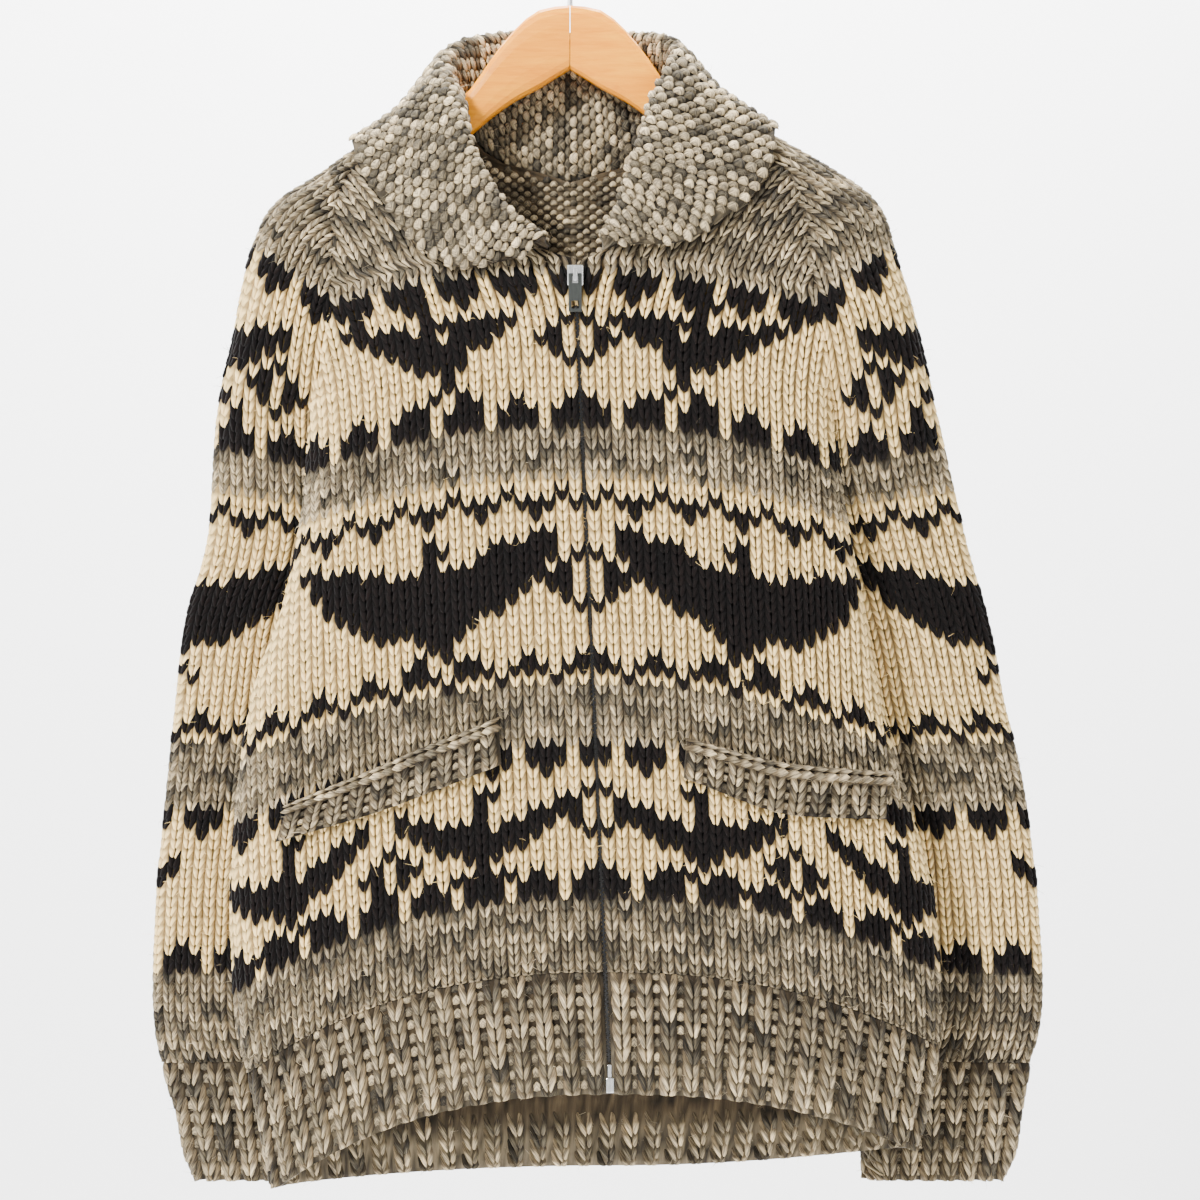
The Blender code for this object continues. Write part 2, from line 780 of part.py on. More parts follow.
def pocket_band(side, material):
    """A ribbed band laid on the front panel: the panel's own points, moved out."""
    bm = bmesh.new()
    columns = POCKET_RIBS * PER_RIB + 1
    made = []
    for down in (0.0, 0.33, 0.67, 1.0):
        line = []
        lift = WALL / 2 + SEAM + POCKET_WALL / 2
        for column in range(columns):
            row = POCKET[side].at(column / (columns - 1))
            x = side * (row.top_x + (row.low_x - row.top_x) * down)
            drop = row.top_drop + (row.low_drop - row.top_drop) * down
            line.append(panel_point(x, drop, "front") + lift * panel_normal(x, drop, "front"))
        made.append(new_row(bm, line))
    for above, below in zip(made, made[1:]):
        strip(bm, above, below)
    rises = [rib_rise(column) * 0.8 for _ in made for column in range(columns)]
    name = f"pocket_band_{SIDE_NAMES[side]}"
    return thickened(name, bm, material, wall=POCKET_WALL, rises=rises, looks_from=(0, 60, -580))


def tape_depth(drop):
    """The tapes lie just behind the fronts."""
    return -face_depth(zip_x(drop), drop, "front") + WALL / 2 + SEAM + TAPE_WALL / 2


def zip_tape(side, material):
    bm = bmesh.new()
    made = []
    for drop in np.linspace(ZIP_TOP + 2, ZIP_END, 16):
        line = []
        for reach in (TAPE_INNER, (TAPE_INNER + TAPE_OUTER) / 2, TAPE_OUTER):
            x = zip_x(drop) + side * reach
            bend = face_depth(zip_x(drop), drop, "front") - face_depth(x, drop, "front")
            line.append(place(x, tape_depth(drop) + bend, drop))
        made.append(new_row(bm, line))
    for above, below in zip(made, made[1:]):
        strip(bm, above, below)
    name = f"zip_tape_{SIDE_NAMES[side]}"
    return thickened(name, bm, material, wall=TAPE_WALL, looks_from=(0, 60, -500))


def block(bm, low, high, bevel=0.0):
    """A box between two corners, its edges rounded."""
    low, high = np.array(low, float), np.array(high, float)
    made = bmesh.ops.create_cube(bm, size=1.0)["verts"]
    bmesh.ops.scale(bm, vec=high - low, verts=made)
    bmesh.ops.translate(bm, vec=(low + high) / 2, verts=made)
    if bevel:
        edges = {edge for vert in made for edge in vert.link_edges}
        bmesh.ops.bevel(bm, geom=list(edges), offset=bevel, segments=2, profile=0.5,
                        affect="EDGES", clamp_overlap=True, material=-1)


def join(target, tool, operation="UNION"):
    """Joins or cuts with another object, which then stays only as a guide."""
    change = target.modifiers.new(operation.title(), "BOOLEAN")
    change.operation = operation
    change.object = tool
    change.solver = "EXACT"
    parts.objects.unlink(tool)
    guides.objects.link(tool)
    tool.hide_render = True
    tool.display_type = "WIRE"


def slider_faces():
    """Depths of the slider's plates in front of and behind the knit, at the slider's drop."""
    knit = -face_depth(zip_x(SLIDER_DROP), SLIDER_DROP, "front") - WALL / 2
    front_back = knit - SEAM
    return front_back, front_back - 2.2


def zip_slider(material):
    middle = zip_x(SLIDER_DROP)
    top = -HOOK_RISE - SLIDER_DROP + SLIDER_LENGTH / 2
    low = top - SLIDER_LENGTH
    plate_back, plate_front = slider_faces()
    tape = tape_depth(SLIDER_DROP)
    bm = bmesh.new()
    half = SLIDER_WIDTH / 2
    block(bm, (middle - half, plate_front, low), (middle + half, plate_back, top), 0.8)
    plate = new_object("zip_slider", bm, material)
    post_half = TAPE_INNER - 0.4
    back_plate = tape + TAPE_WALL / 2 + SEAM + 0.6
    bm = bmesh.new()
    block(bm, (middle - post_half, plate_back - 1, low + 4), (middle + post_half, back_plate + 0.8, top - 2))
    join(plate, new_object("slider_post", bm, material))
    bm = bmesh.new()
    block(bm, (middle - 4, back_plate, low + 1), (middle + 4, back_plate + 1.4, top - 1), 0.3)
    join(plate, new_object("slider_back_plate", bm, material))
    bm = bmesh.new()
    bridge_half = 1.5
    bridge_low, bridge_high = pull_axis()[2] - 4.2, pull_axis()[2] + 4.2
    block(bm, (middle - bridge_half, plate_front - 5.0, bridge_low),
          (middle + bridge_half, plate_front + 0.8, bridge_high), 0.5)
    bridge = new_object("slider_bridge", bm, material)
    join(plate, bridge)
    bm = bmesh.new()
    block(bm, (middle - 4, plate_front - 3.6, bridge_low + 1.4),
          (middle + 4, plate_front - 0.4, bridge_high - 1.4))
    join(plate, new_object("slider_eye", bm, material), "DIFFERENCE")
    return plate


def pull_axis():
    """The pull turns on this point, inside the slider's bridge."""
    plate_front = slider_faces()[1]
    return np.array((zip_x(SLIDER_DROP), plate_front - 2.0, -HOOK_RISE - SLIDER_DROP))


def zip_pull(material):
    """A flat tab with a slot at its end, hung on a pin through the slider's bridge."""
    axis = pull_axis() * MM
    half = PULL_WIDTH / 2
    bm = bmesh.new()
    block(bm, (-half, -PULL_WALL / 2, -PULL_LENGTH), (half, PULL_WALL / 2, 1.1), 0.5)
    tab = new_object("zip_pull", bm, material)
    bm = bmesh.new()
    block(bm, (-half + 2, -4, -PULL_LENGTH + 2.2), (half - 2, 4, -PULL_LENGTH + 7.5))
    slot = new_object("pull_slot", bm, material)
    join(tab, slot, "DIFFERENCE")
    bm = bmesh.new()
    eye_half = 2.0
    block(bm, (-eye_half, -4, -5.6), (eye_half, 4, -0.9))
    eye = new_object("pull_eye", bm, material)
    join(tab, eye, "DIFFERENCE")
    bm = bmesh.new()
    block(bm, (-eye_half, -4, 0.9), (eye_half, 4, 4))
    notch = new_object("pull_notch", bm, material)
    join(tab, notch, "DIFFERENCE")
    for piece in (tab, slot, eye, notch):
        piece.location = axis
    return tab


def zip_stops(material):
    """The box and pin that part the zip at its foot."""
    drop = ZIP_END - 6
    middle = zip_x(drop)
    knit = -face_depth(middle, drop, "front")
    z = -HOOK_RISE - drop
    bm = bmesh.new()
    front = tape_depth(drop) - TAPE_WALL / 2 - 0.3
    block(bm, (middle - 2.7, knit - 2.0, z - 5), (middle + 2.7, front, z + 5), 0.6)
    new_object("zip_box", bm, material)
    bm = bmesh.new()
    pin_top = z + 14
    front_pin = tape_depth(drop - 14) - TAPE_WALL / 2 - 0.3
    block(bm, (middle - 1.6, knit - 1.0, z + 5.3), (middle + 1.0, front_pin, pin_top), 0.4)
    new_object("zip_pin", bm, material)


def hanger_half(side, material):
    """A shaped wooden arm; the two meet at a fine joint in the middle."""
    bm = bmesh.new()
    reaches = (0.25, 10, 21, 30, 38, 47, 55, 62, 69, 80, 90, 107, 124, 141, 158, 172, 185, 200)
    above = None
    rings = []
    for reach in reaches:
        row = WOOD.at(reach)
        top, low, deep = -HOOK_RISE - row.top, -HOOK_RISE - row.low, row.half_depth
        middle, tall = (top + low) / 2, (top - low) / 2
        ring = []
        for step in range(16):
            turn = 2 * math.pi * (step + 0.5) / 16
            y = deep * math.copysign(abs(math.cos(turn)) ** 0.55, math.cos(turn))
            z = middle + tall * math.copysign(abs(math.sin(turn)) ** 0.55, math.sin(turn))
            ring.append((side * reach, y, z))
        made = new_row(bm, ring)
        if above:
            strip(bm, above, made, closed=True)
        above = made
        rings.append(made)
    bm.faces.new(rings[0])
    bm.faces.new(rings[-1])
    bmesh.ops.recalc_face_normals(bm, faces=bm.faces)
    return new_object(f"hanger_wood_{SIDE_NAMES[side]}", bm, material)


def hanger_hook(material):
    """Wire that rises from the wood and turns round over the rail, its tip past the far side."""
    centre_z = -HOOK_RADIUS
    ring = HOOK_RADIUS + WIRE
    points = [(0, 0, -HOOK_RISE + 0.3), (0, 0, -HOOK_RISE + 5)]
    for step in range(25):
        turn = math.radians(-80 + 285 * step / 24)
        points.append((ring * math.cos(turn), 0, centre_z + ring * math.sin(turn)))
    curve = bpy.data.curves.new("hook_line", "CURVE")
    curve.dimensions = "3D"
    spline = curve.splines.new("POLY")
    spline.points.add(len(points) - 1)
    for point, (x, y, z) in zip(spline.points, points):
        point.co = (x * MM, y * MM, z * MM, 1)
    curve.bevel_depth = WIRE * MM
    curve.bevel_resolution = 2
    curve.use_fill_caps = True
    curve.materials.append(material)
    made = bpy.data.objects.new("hanger_hook", curve)
    parts.objects.link(made)
    return made


def clear_scene():
    for old in list(bpy.data.objects):
        bpy.data.objects.remove(old)


def build():
    grey = new_material("grey_wool", (0.42, 0.40, 0.36), 0.95)
    cream = new_material("cream_wool", (0.78, 0.68, 0.52), 0.95)
    wood = new_material("varnished_wood", (0.72, 0.42, 0.16), 0.35)
    chrome = new_material("chrome", (0.75, 0.75, 0.76), 0.2, 1.0)
    dark_tape = new_material("dark_tape", (0.05, 0.05, 0.06), 0.8)
    dark_metal = new_material("dark_metal", (0.07, 0.07, 0.08), 0.35, 1.0)
    for side in (LEFT, RIGHT):
        front_panel(side, cream)
        front_hem(side, grey)
        sleeve(side, cream)
        cuff(side, grey)
        pocket_band(side, grey)
        zip_tape(side, dark_tape)
        hanger_half(side, wood)
    back_panel(cream)
    back_hem(grey)
    collar(grey)
    zip_slider(chrome)
    zip_pull(dark_metal)
    zip_stops(chrome)
    hanger_hook(chrome)


clear_scene()
parts = bpy.data.collections.new("cardigan")
guides = bpy.data.collections.new("guides")
guides.hide_render = True
bpy.context.scene.collection.children.link(parts)
bpy.context.scene.collection.children.link(guides)
build()
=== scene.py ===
import json
import math
from types import SimpleNamespace

import bmesh
import bpy
import mathutils
import numpy as np
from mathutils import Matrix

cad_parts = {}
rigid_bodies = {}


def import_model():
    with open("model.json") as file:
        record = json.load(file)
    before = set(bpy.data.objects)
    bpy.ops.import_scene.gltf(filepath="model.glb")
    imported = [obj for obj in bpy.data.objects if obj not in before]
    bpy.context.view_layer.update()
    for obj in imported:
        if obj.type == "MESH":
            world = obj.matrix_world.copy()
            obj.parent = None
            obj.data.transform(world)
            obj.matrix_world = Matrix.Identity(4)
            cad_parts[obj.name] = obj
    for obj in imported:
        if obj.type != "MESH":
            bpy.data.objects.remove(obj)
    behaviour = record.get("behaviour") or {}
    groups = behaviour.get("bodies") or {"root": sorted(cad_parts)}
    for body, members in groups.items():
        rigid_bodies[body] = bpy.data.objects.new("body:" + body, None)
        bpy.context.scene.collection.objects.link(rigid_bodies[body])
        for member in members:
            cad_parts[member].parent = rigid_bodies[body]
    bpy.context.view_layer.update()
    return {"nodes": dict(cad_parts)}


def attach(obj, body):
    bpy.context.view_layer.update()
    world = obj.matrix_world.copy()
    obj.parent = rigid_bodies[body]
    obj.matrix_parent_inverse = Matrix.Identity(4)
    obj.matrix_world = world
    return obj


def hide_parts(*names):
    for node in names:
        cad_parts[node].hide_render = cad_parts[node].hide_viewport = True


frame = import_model()

# Sizes are in millimetres until a mesh is made. A drop is measured down from the crest of the
# hanger's wood, left is the viewer's left, and the front looks to -Y.
mm = 0.001
hookRise = 52.0
left, right = -1, 1
sideNames = {left: "left", right: "right"}
underarm = 272
rng = np.random.default_rng(11)

yarns = dict(
    cream=(1.0, 0.735, 0.335),
    dark=(0.0042, 0.0022, 0.0018),
    greyLight=(0.49, 0.405, 0.268),
    greyDark=(0.072, 0.063, 0.048),
)
knit = dict(
    wale=9.2,         # width of one stitch
    row=6.94,         # height of one row on the fronts, at the zip
    firstDrop=184.9,  # where row 0, the first of the teeth, starts at the zip
    lean=0.64,        # how far the columns lean over at the top of the yoke
)


class Table:
    # rows of named columns, read smoothly between the rows by the first column
    def __init__(self, columns, *rows):
        self.columns = columns.split()
        self.values = np.array(rows, float)
        self.keys = self.values[:, 0]
        slopes = np.diff(self.values, axis=0) / np.diff(self.keys)[:, None]
        self.tangents = np.zeros_like(self.values)
        self.tangents[0], self.tangents[-1] = slopes[0], slopes[-1]
        before, after = slopes[:-1], slopes[1:]
        sameWay = before * after > 0
        total = np.where(sameWay, before + after, 1.0)
        self.tangents[1:-1] = np.where(sameWay, 2 * before * after / total, 0.0)

    def at(self, key):
        key = min(max(key, self.keys[0]), self.keys[-1])
        row = min(int(np.searchsorted(self.keys, key, side="right")) - 1, len(self.keys) - 2)
        step = self.keys[row + 1] - self.keys[row]
        t = (key - self.keys[row]) / step
        found = (
            (1 + 2 * t) * (1 - t) ** 2 * self.values[row]
            + t * (1 - t) ** 2 * step * self.tangents[row]
            + t * t * (3 - 2 * t) * self.values[row + 1]
            + t * t * (t - 1) * step * self.tangents[row + 1]
        )
        return SimpleNamespace(**dict(zip(self.columns, found)))


# The garment's outlines and rows, as its solids have them.
shoulders = Table(
    "drop left right front back",
    (64, 92, 97, 20, 18),
    (85, 124, 130, 27, 22),
    (106, 158, 168, 32, 25),
    (120, 177, 191, 35, 26),
    (134, 200, 210, 37, 27),
    (148, 212, 219, 39, 28),
    (175, 222, 226, 42, 29),
    (203, 228, 235, 44, 29),
    (230, 233, 242, 45, 28),
    (272, 243, 252, 46, 27),
)
bodyTube = Table(
    "drop left right front back square",
    (272, 181, 183, 46, 27, 3.4),
    (300, 182, 185, 46, 25, 3.0),
    (341, 185, 190, 46, 24, 2.7),
    (410, 198, 203, 45, 24, 2.4),
    (479, 221, 215, 45, 24, 2.3),
    (548, 231, 234, 44, 24, 2.3),
    (617, 235, 252, 43, 25, 2.3),
    (686, 233, 257, 43, 26, 2.3),
    (755, 218, 249, 42, 28, 2.3),
    (820, 205, 224, 42, 30, 2.3),
)
knitRows = Table(
    "sideLeft centre sideRight back",
    (66, 52, 66, 60),
    (112, 88, 112, 105),
    (150, 126, 150, 142),
    (207, 186, 207, 199),
    (272, 243, 272, 264),
    (373, 340, 371, 366),
    (502, 451, 496, 495),
    (611, 550, 600, 603),
    (735, 662, 716, 724),
    (815, 745, 788, 804),
)
raglan = Table(
    "drop left right",
    (74, 80, 84),
    (84, 97, 101),
    (96, 119, 124),
    (112, 146, 146),
    (128, 157, 155),
    (159, 161, 162),
    (207, 163.5, 168),
    (241, 169, 174.5),
    (272, 176, 178),
)
frontNeck = Table(
    "drop left right",
    (74, 72, 76),
    (84, 76, 78),
    (96, 79, 79),
    (114, 76, 73),
    (133, 68, 64),
    (150, 55, 54),
    (165, 36, 40),
    (172, 20, 28),
    (180, 0, 7),
)
backNeck = Table(
    "drop left right",
    (74, 72, 76),
    (84, 70, 73),
    (96, 62, 64),
    (106, 46, 48),
    (112, 22, 24),
    (114, 0, 0),
)
sleeveEdge = Table(
    "drop left right",
    (62, 89, 94),
    (85, 124, 130),
    (106, 158, 168),
    (120, 177, 191),
    (134, 200, 210),
    (148, 212, 219),
    (175, 222, 226),
    (203, 228, 235),
    (230, 233, 242),
    (272, 243, 252),
    (313, 249, 263),
    (355, 252.5, 274),
    (382, 258, 281.5),
    (410, 267, 290),
    (437, 273, 297),
    (479, 278, 305),
    (534, 284, 318),
    (575, 288, 324),
    (617, 292, 329),
    (686, 294.5, 333),
    (713, 293, 330),
    (741, 286, 322),
    (769, 277, 317),
    (796, 272, 313),
    (820, 262, 302),
)
sleeveRows = Table(
    "drop ridge left right middle depth bow swell",
    (74, 62, 80, 84, 0, 12, 0, 0),
    (84, 72, 97, 101, 0, 12, 0, 0),
    (96, 84, 119, 124, 0, 12, 0, 0),
    (112, 101, 146, 146, 0, 12, 0, 0),
    (128, 110, 157, 155, 0, 12, 0, 0),
    (159, 128, 161, 162, 0, 12, 0, 1),
    (207, 168, 164, 168, 0, 12, 0, 3),
    (241, 208, 170, 175, 0, 12, 0, 7),
    (262, 235, 177, 180, -3, 12, 1, 11),
    (272, 247, 178, 181, -3, 12, 2, 12),
    (300, 282, 175, 179, 6, 14, 4, 8),
    (340, 328, 166, 171, 22, 16, 6, 3),
    (400, 394, 152, 165, 38, 17, 8, 1),
    (480, 478, 155, 175, 43, 17, 8, 1),
    (560, 560, 166, 190, 44, 17, 8, 1),
    (640, 642, 178, 205, 45, 16, 8, 0),
    (731, 734, 190, 214, 46, 15, 8, 0),
    (818, 819, 188, 216, 46, 14, 8, 0),
)
folds = (
    dict(x=-150, top=250, end=470, wide=16, out=3.0),
    dict(x=-112, top=300, end=640, wide=20, out=-3.0),
    dict(x=-165, top=520, end=800, wide=20, out=3.5),
    dict(x=60, top=330, end=560, wide=24, out=2.5),
    dict(x=128, top=260, end=500, wide=18, out=-3.0),
    dict(x=170, top=430, end=760, wide=22, out=3.5),
    dict(x=-60, top=560, end=790, wide=24, out=2.5),
    dict(x=95, top=600, end=790, wide=22, out=-2.5),
)
collarShape = {
    left: Table(
        "along seamX seamY seamDrop foldX foldY foldDrop edgeX edgeY edgeDrop",
        (0.00, 0, 26, 111, 0, 24, 15, 0, 44, 126),
        (0.16, 40, 25, 103, 40, 22, 15, 62, 42, 126),
        (0.30, 66.5, 18, 80.5, 70, 14, 20, 108, 34, 118),
        (0.42, 76, 6, 60, 87, 2, 36, 137, 14, 98),
        (0.52, 76, -9, 60, 85, -22, 51, 147, -8, 100),
        (0.62, 71, -25.5, 80.5, 77, -38, 68, 140, -24, 120),
        (0.74, 72, -34.5, 107, 69, -50, 95, 124, -36, 143),
        (0.86, 66, -40, 133, 58, -56, 120, 103, -46, 169),
        (0.94, 44, -43, 153, 39, -58, 148, 70, -52, 185),
        (1.00, 15, -43, 167.5, 19, -58, 165, 30, -54, 178),
    ),
    right: Table(
        "along seamX seamY seamDrop foldX foldY foldDrop edgeX edgeY edgeDrop",
        (0.00, 0, 26, 111, 0, 24, 15, 0, 44, 126),
        (0.16, 42, 25, 104, 36, 22, 15, 60, 42, 126),
        (0.30, 70, 18, 81, 59, 14, 17, 104, 34, 116),
        (0.42, 80, 6, 60, 73, 2, 28, 132, 14, 92),
        (0.52, 80, -9, 59.5, 67, -22, 46, 140, -8, 88),
        (0.62, 74, -25.5, 80, 55, -38, 70, 138, -24, 106),
        (0.74, 72, -34.5, 105, 49, -48, 93, 127, -36, 131),
        (0.86, 64, -40, 130, 40, -56, 118, 105, -46, 150),
        (0.94, 46, -43, 155, 32, -58, 146, 70, -52, 169),
        (1.00, 22, -43, 169.5, 24, -58, 164, 34, -54, 170),
    ),
}
pocketShape = {
    left: Table(
        "along topX topDrop lowX lowDrop",
        (0.0, 48, 489, 46, 521),
        (0.5, 118, 518, 122, 551),
        (1.0, 190, 549, 199, 575),
    ),
    right: Table(
        "along topX topDrop lowX lowDrop",
        (0.0, 79, 503, 77, 530),
        (0.5, 150, 521, 152, 556),
        (1.0, 214, 528, 214, 560),
    ),
}
wall = 6.5
seam = 0.5
zipTop, zipEnd = 180.0, 745.0
zipEdge = 3.2
frontEdge = 1.5  # the soft edges of the fronts nearly hide the zip


def ofSide(row, side):
    return row.left if side == left else row.right


def smoothStep(low, high, value):
    t = np.clip((value - low) / (high - low), 0.0, 1.0)
    return t * t * (3 - 2 * t)


def foldOut(x, drop):
    out = 0.0
    for fold in folds:
        across = math.exp(-(((x - fold["x"]) / fold["wide"]) ** 2))
        along = min(max((drop - fold["top"]) / (fold["end"] - fold["top"]), 0.0), 1.0)
        out += fold["out"] * across * math.sin(math.pi * along) ** 2
    return out


def zipX(drop):
    return 3.5 + 0.043 * (drop - zipTop)


def bulge(across, square):
    return max(0.0, 1 - min(abs(across), 1.0) ** square) ** (1 / square)


def halfWidth(outline, side, drop):
    return ofSide(outline, side) - wall / 2 - side * zipX(drop)


def faceDepth(x, drop, face):
    side = left if x < zipX(drop) else right
    yoke = shoulders.at(drop)
    body = bodyTube.at(drop)
    reach = abs(x - zipX(drop))
    onYoke = bulge(reach / halfWidth(yoke, side, drop), 2)
    onBody = bulge(reach / halfWidth(body, side, drop), body.square)
    part = float(smoothStep(215, underarm, drop))
    depth = (1 - part) * getattr(yoke, face) * onYoke + part * getattr(body, face) * onBody
    return depth + foldOut(x, drop) * min(onYoke, onBody)


def place(x, y, drop):
    return np.array((x, y, -hookRise - drop))


def lineLengths(points):
    return np.concatenate([[0.0], np.cumsum(np.linalg.norm(np.diff(points, axis=0), axis=1))])


def spaced(points, count, start=0.0, end=0.0):
    points = np.array(points, float)
    lengths = lineLengths(points)
    wanted = np.linspace(start, lengths[-1] - end, count)
    return np.stack([np.interp(wanted, lengths, points[:, axis]) for axis in range(3)], axis=1)


def yokeLevel(point):
    x, y, z = point
    drop = -hookRise - z
    yoke = shoulders.at(drop)
    side = left if x < zipX(drop) else right
    narrowing = 1.55 * max(0.0, shoulders.keys[0] - drop)
    half = max(halfWidth(yoke, side, drop) - narrowing, 5.0)
    depth = yoke.front if y < 0 else yoke.back
    return ((x - zipX(drop)) / half) ** 2 + (y / depth) ** 2 - 1


def bodyLevel(point):
    x, y, z = point
    drop = -hookRise - z
    body = bodyTube.at(drop)
    side = left if x < zipX(drop) else right
    depth = body.front if y < 0 else body.back
    across = abs(x - zipX(drop)) / halfWidth(body, side, drop)
    return across**body.square + (abs(y) / depth) ** body.square - 1


def keptOff(point, level, gap):
    point = np.array(point, float)
    small = 0.05
    for _ in range(6):
        here = level(point)
        slope = np.array([(level(point + small * axis) - here) / small for axis in np.eye(3)])
        steep = float(np.linalg.norm(slope))
        if steep < 1e-9:
            break
        distance = here / steep
        if distance >= gap - 0.01:
            break
        point = point + slope / steep * min(gap - distance, 4.0)
    return point


def seamRoom(drop, side):
    before = ofSide(raglan.at(drop - 1.0), side)
    after = ofSide(raglan.at(drop + 1.0), side)
    return seam / 2 * math.hypot(1, abs(after - before) / 2)


def neckCrossing(neck, rowDrop, outer, side):
    low, high = 0.0, outer
    for _ in range(30):
        reach = (low + high) / 2
        drop = rowDrop(reach)
        inNeck = drop < neck.keys[-1] and reach < ofSide(neck.at(drop), side)
        low, high = (reach, high) if inNeck else (low, reach)
    return high


def halfRow(sideDrop, side, face):
    # one knitted row of a front or of half the back, from its middle end to the seam or side
    steps = 48
    row = knitRows.at(sideDrop)
    isFront = face == "front"
    sign = -1 if isFront else 1
    arch = 2.3 if isFront else 2.0
    start = row.centre if isFront else row.back
    end = row.sideLeft if side == left else row.sideRight
    points = []
    if sideDrop < underarm:
        outer = ofSide(raglan.at(end), side) - seamRoom(end, side)

        def rowDrop(reach):
            return start + (end - start) * (reach / outer) ** arch

        inner = neckCrossing(frontNeck if isFront else backNeck, rowDrop, outer, side)
        if isFront and inner < 9:
            inner = side * zipX(start)
        for step in range(steps + 1):
            reach = inner + (outer - inner) * step / steps
            drop = rowDrop(max(reach, 0.0))
            points.append(place(side * reach, sign * faceDepth(side * reach, drop, face), drop))
        return np.array(points)
    for step in range(steps + 1):
        turn = math.pi / 2 * step / steps
        across = math.sin(turn) ** (2 / bodyTube.at(end).square)
        drop = start + (end - start) * across**arch
        body = bodyTube.at(drop)
        across = math.sin(turn) ** (2 / body.square)
        x = zipX(drop) + side * halfWidth(body, side, drop) * across
        depth = getattr(body, face) * max(math.cos(turn), 0.0) ** (2 / body.square)
        depth += foldOut(x, drop) * max(math.cos(turn), 0.0)
        points.append(place(x, sign * depth, drop))
    return np.array(points)


def sleeveRing(drop, side):
    # one row of the sleeve as two lines: over the outer edge from front to back, and inside back
    row = sleeveRows.at(drop)
    edge = ofSide(sleeveEdge.at(row.ridge), side) - wall / 2
    if drop < underarm:
        inner = ofSide(raglan.at(drop), side) + seamRoom(drop, side)
        front = -faceDepth(side * inner, drop, "front")
        back = faceDepth(side * inner, drop, "back")
    else:
        inner = ofSide(row, side)
        front, back = row.middle - row.depth, row.middle + row.depth
    middle, half = (front + back) / 2, (back - front) / 2
    full = 0.86 if drop >= underarm else 1.0
    line = []
    for step in range(49):
        turn = math.pi * step / 48
        reach = inner + (edge - inner) * max(math.sin(turn), 0.0) ** full
        tall = math.copysign(abs(math.cos(turn)) ** full, math.cos(turn))
        y = middle - half * tall - row.swell * math.sin(2 * turn)
        down = drop + (row.ridge - drop) * math.sin(turn)
        line.append(place(side * reach, y, down))
    if drop < underarm:
        return np.array(line), None
    gusset = []
    for step in range(17):
        turn = math.pi * step / 16
        reach = inner - row.bow * math.sin(turn)
        gusset.append(place(side * reach, middle + half * math.cos(turn), drop))
    clear = wall - 3.5 + 4.5 * float(smoothStep(330, 380, drop))
    line = np.array([keptOff(point, bodyLevel, clear) for point in line])
    gusset = np.array([keptOff(point, bodyLevel, clear) for point in gusset])
    return line, gusset


def bezier(points, count):
    a, b, c, d = points
    t = np.linspace(0, 1, count)[:, None]
    return a * (1 - t) ** 3 + 3 * b * t * (1 - t) ** 2 + 3 * c * t * t * (1 - t) + d * t**3


def collarSection(along, side):
    row = collarShape[side].at(along)
    start = place(side * row.seamX, row.seamY, row.seamDrop)
    fold = place(side * row.foldX, row.foldY, row.foldDrop)
    edge = place(side * row.edgeX, row.edgeY, row.edgeDrop)
    away = (start - fold) + (edge - fold)
    away = away / np.linalg.norm(away)
    roll = (edge - start) - away * float(np.dot(edge - start, away))
    roll = 8.0 * roll / np.linalg.norm(roll)
    stand = bezier((start, start + (fold - start) * 0.45, fold - roll, fold), 24)
    fall = bezier((fold, fold + roll, edge + (fold - edge) * 0.45, edge), 24)
    fall = np.array([keptOff(point, yokeLevel, wall + 1.6) if index > 5 else point
                     for index, point in enumerate(fall)])
    below = stand[:1] * 2 - stand[2:3]
    below = stand[:1] + (below - stand[:1]) / np.linalg.norm(below - stand[:1]) * 6.0
    return np.concatenate([below, stand, fall[1:]])


# A knitted surface, read by the distance along a row and by the row's number.
class Fabric:
    def __init__(self, lines, starts, awayFrom, firstRow=0, samples=121, probe=0):
        self.points = np.stack([spaced(line, samples) for line in lines])
        self.lengths = np.array([lineLengths(np.array(line))[-1] for line in lines])
        self.starts = np.array(starts, float)
        self.firstRow = firstRow
        self.rows = len(lines)
        across = np.gradient(self.points, axis=1)
        down = np.gradient(self.points, axis=0)
        if np.abs(self.points[:, 0] - self.points[:, -1]).max() < 1e-6:
            across[:, 0] = across[:, -1] = self.points[:, 1] - self.points[:, -2]
        normals = np.cross(down, across)
        normals /= np.maximum(np.linalg.norm(normals, axis=2, keepdims=True), 1e-9)
        outward = (normals * (self.points - np.array(awayFrom, float)))[:, probe:].sum()
        self.normals = normals if outward > 0 else -normals

    def read(self, s, row, height):
        row = np.clip(np.asarray(row, float) - self.firstRow, 0, self.rows - 1)
        low = np.minimum(row.astype(int), self.rows - 2)
        part = row - low
        length = self.lengths[low] * (1 - part) + self.lengths[low + 1] * part
        start = self.starts[low] * (1 - part) + self.starts[low + 1] * part
        last = self.points.shape[1] - 1
        past = 2.5 / length
        along = np.clip((s - start) / length, -past, 1 + past) * last
        column = np.clip(along.astype(int), 0, last - 1)
        side = (along - column)[..., None]
        part = part[..., None]

        def mixed(grid):
            above = grid[low, column] * (1 - side) + grid[low, column + 1] * side
            below = grid[low + 1, column] * (1 - side) + grid[low + 1, column + 1] * side
            return above * (1 - part) + below * part

        return mixed(self.points) + mixed(self.normals) * np.asarray(height)[..., None]

    def span(self, row):
        row = float(np.clip(row - self.firstRow, 0, self.rows - 1))
        numbers = np.arange(self.rows)
        start = float(np.interp(row, numbers, self.starts))
        return start, start + float(np.interp(row, numbers, self.lengths))


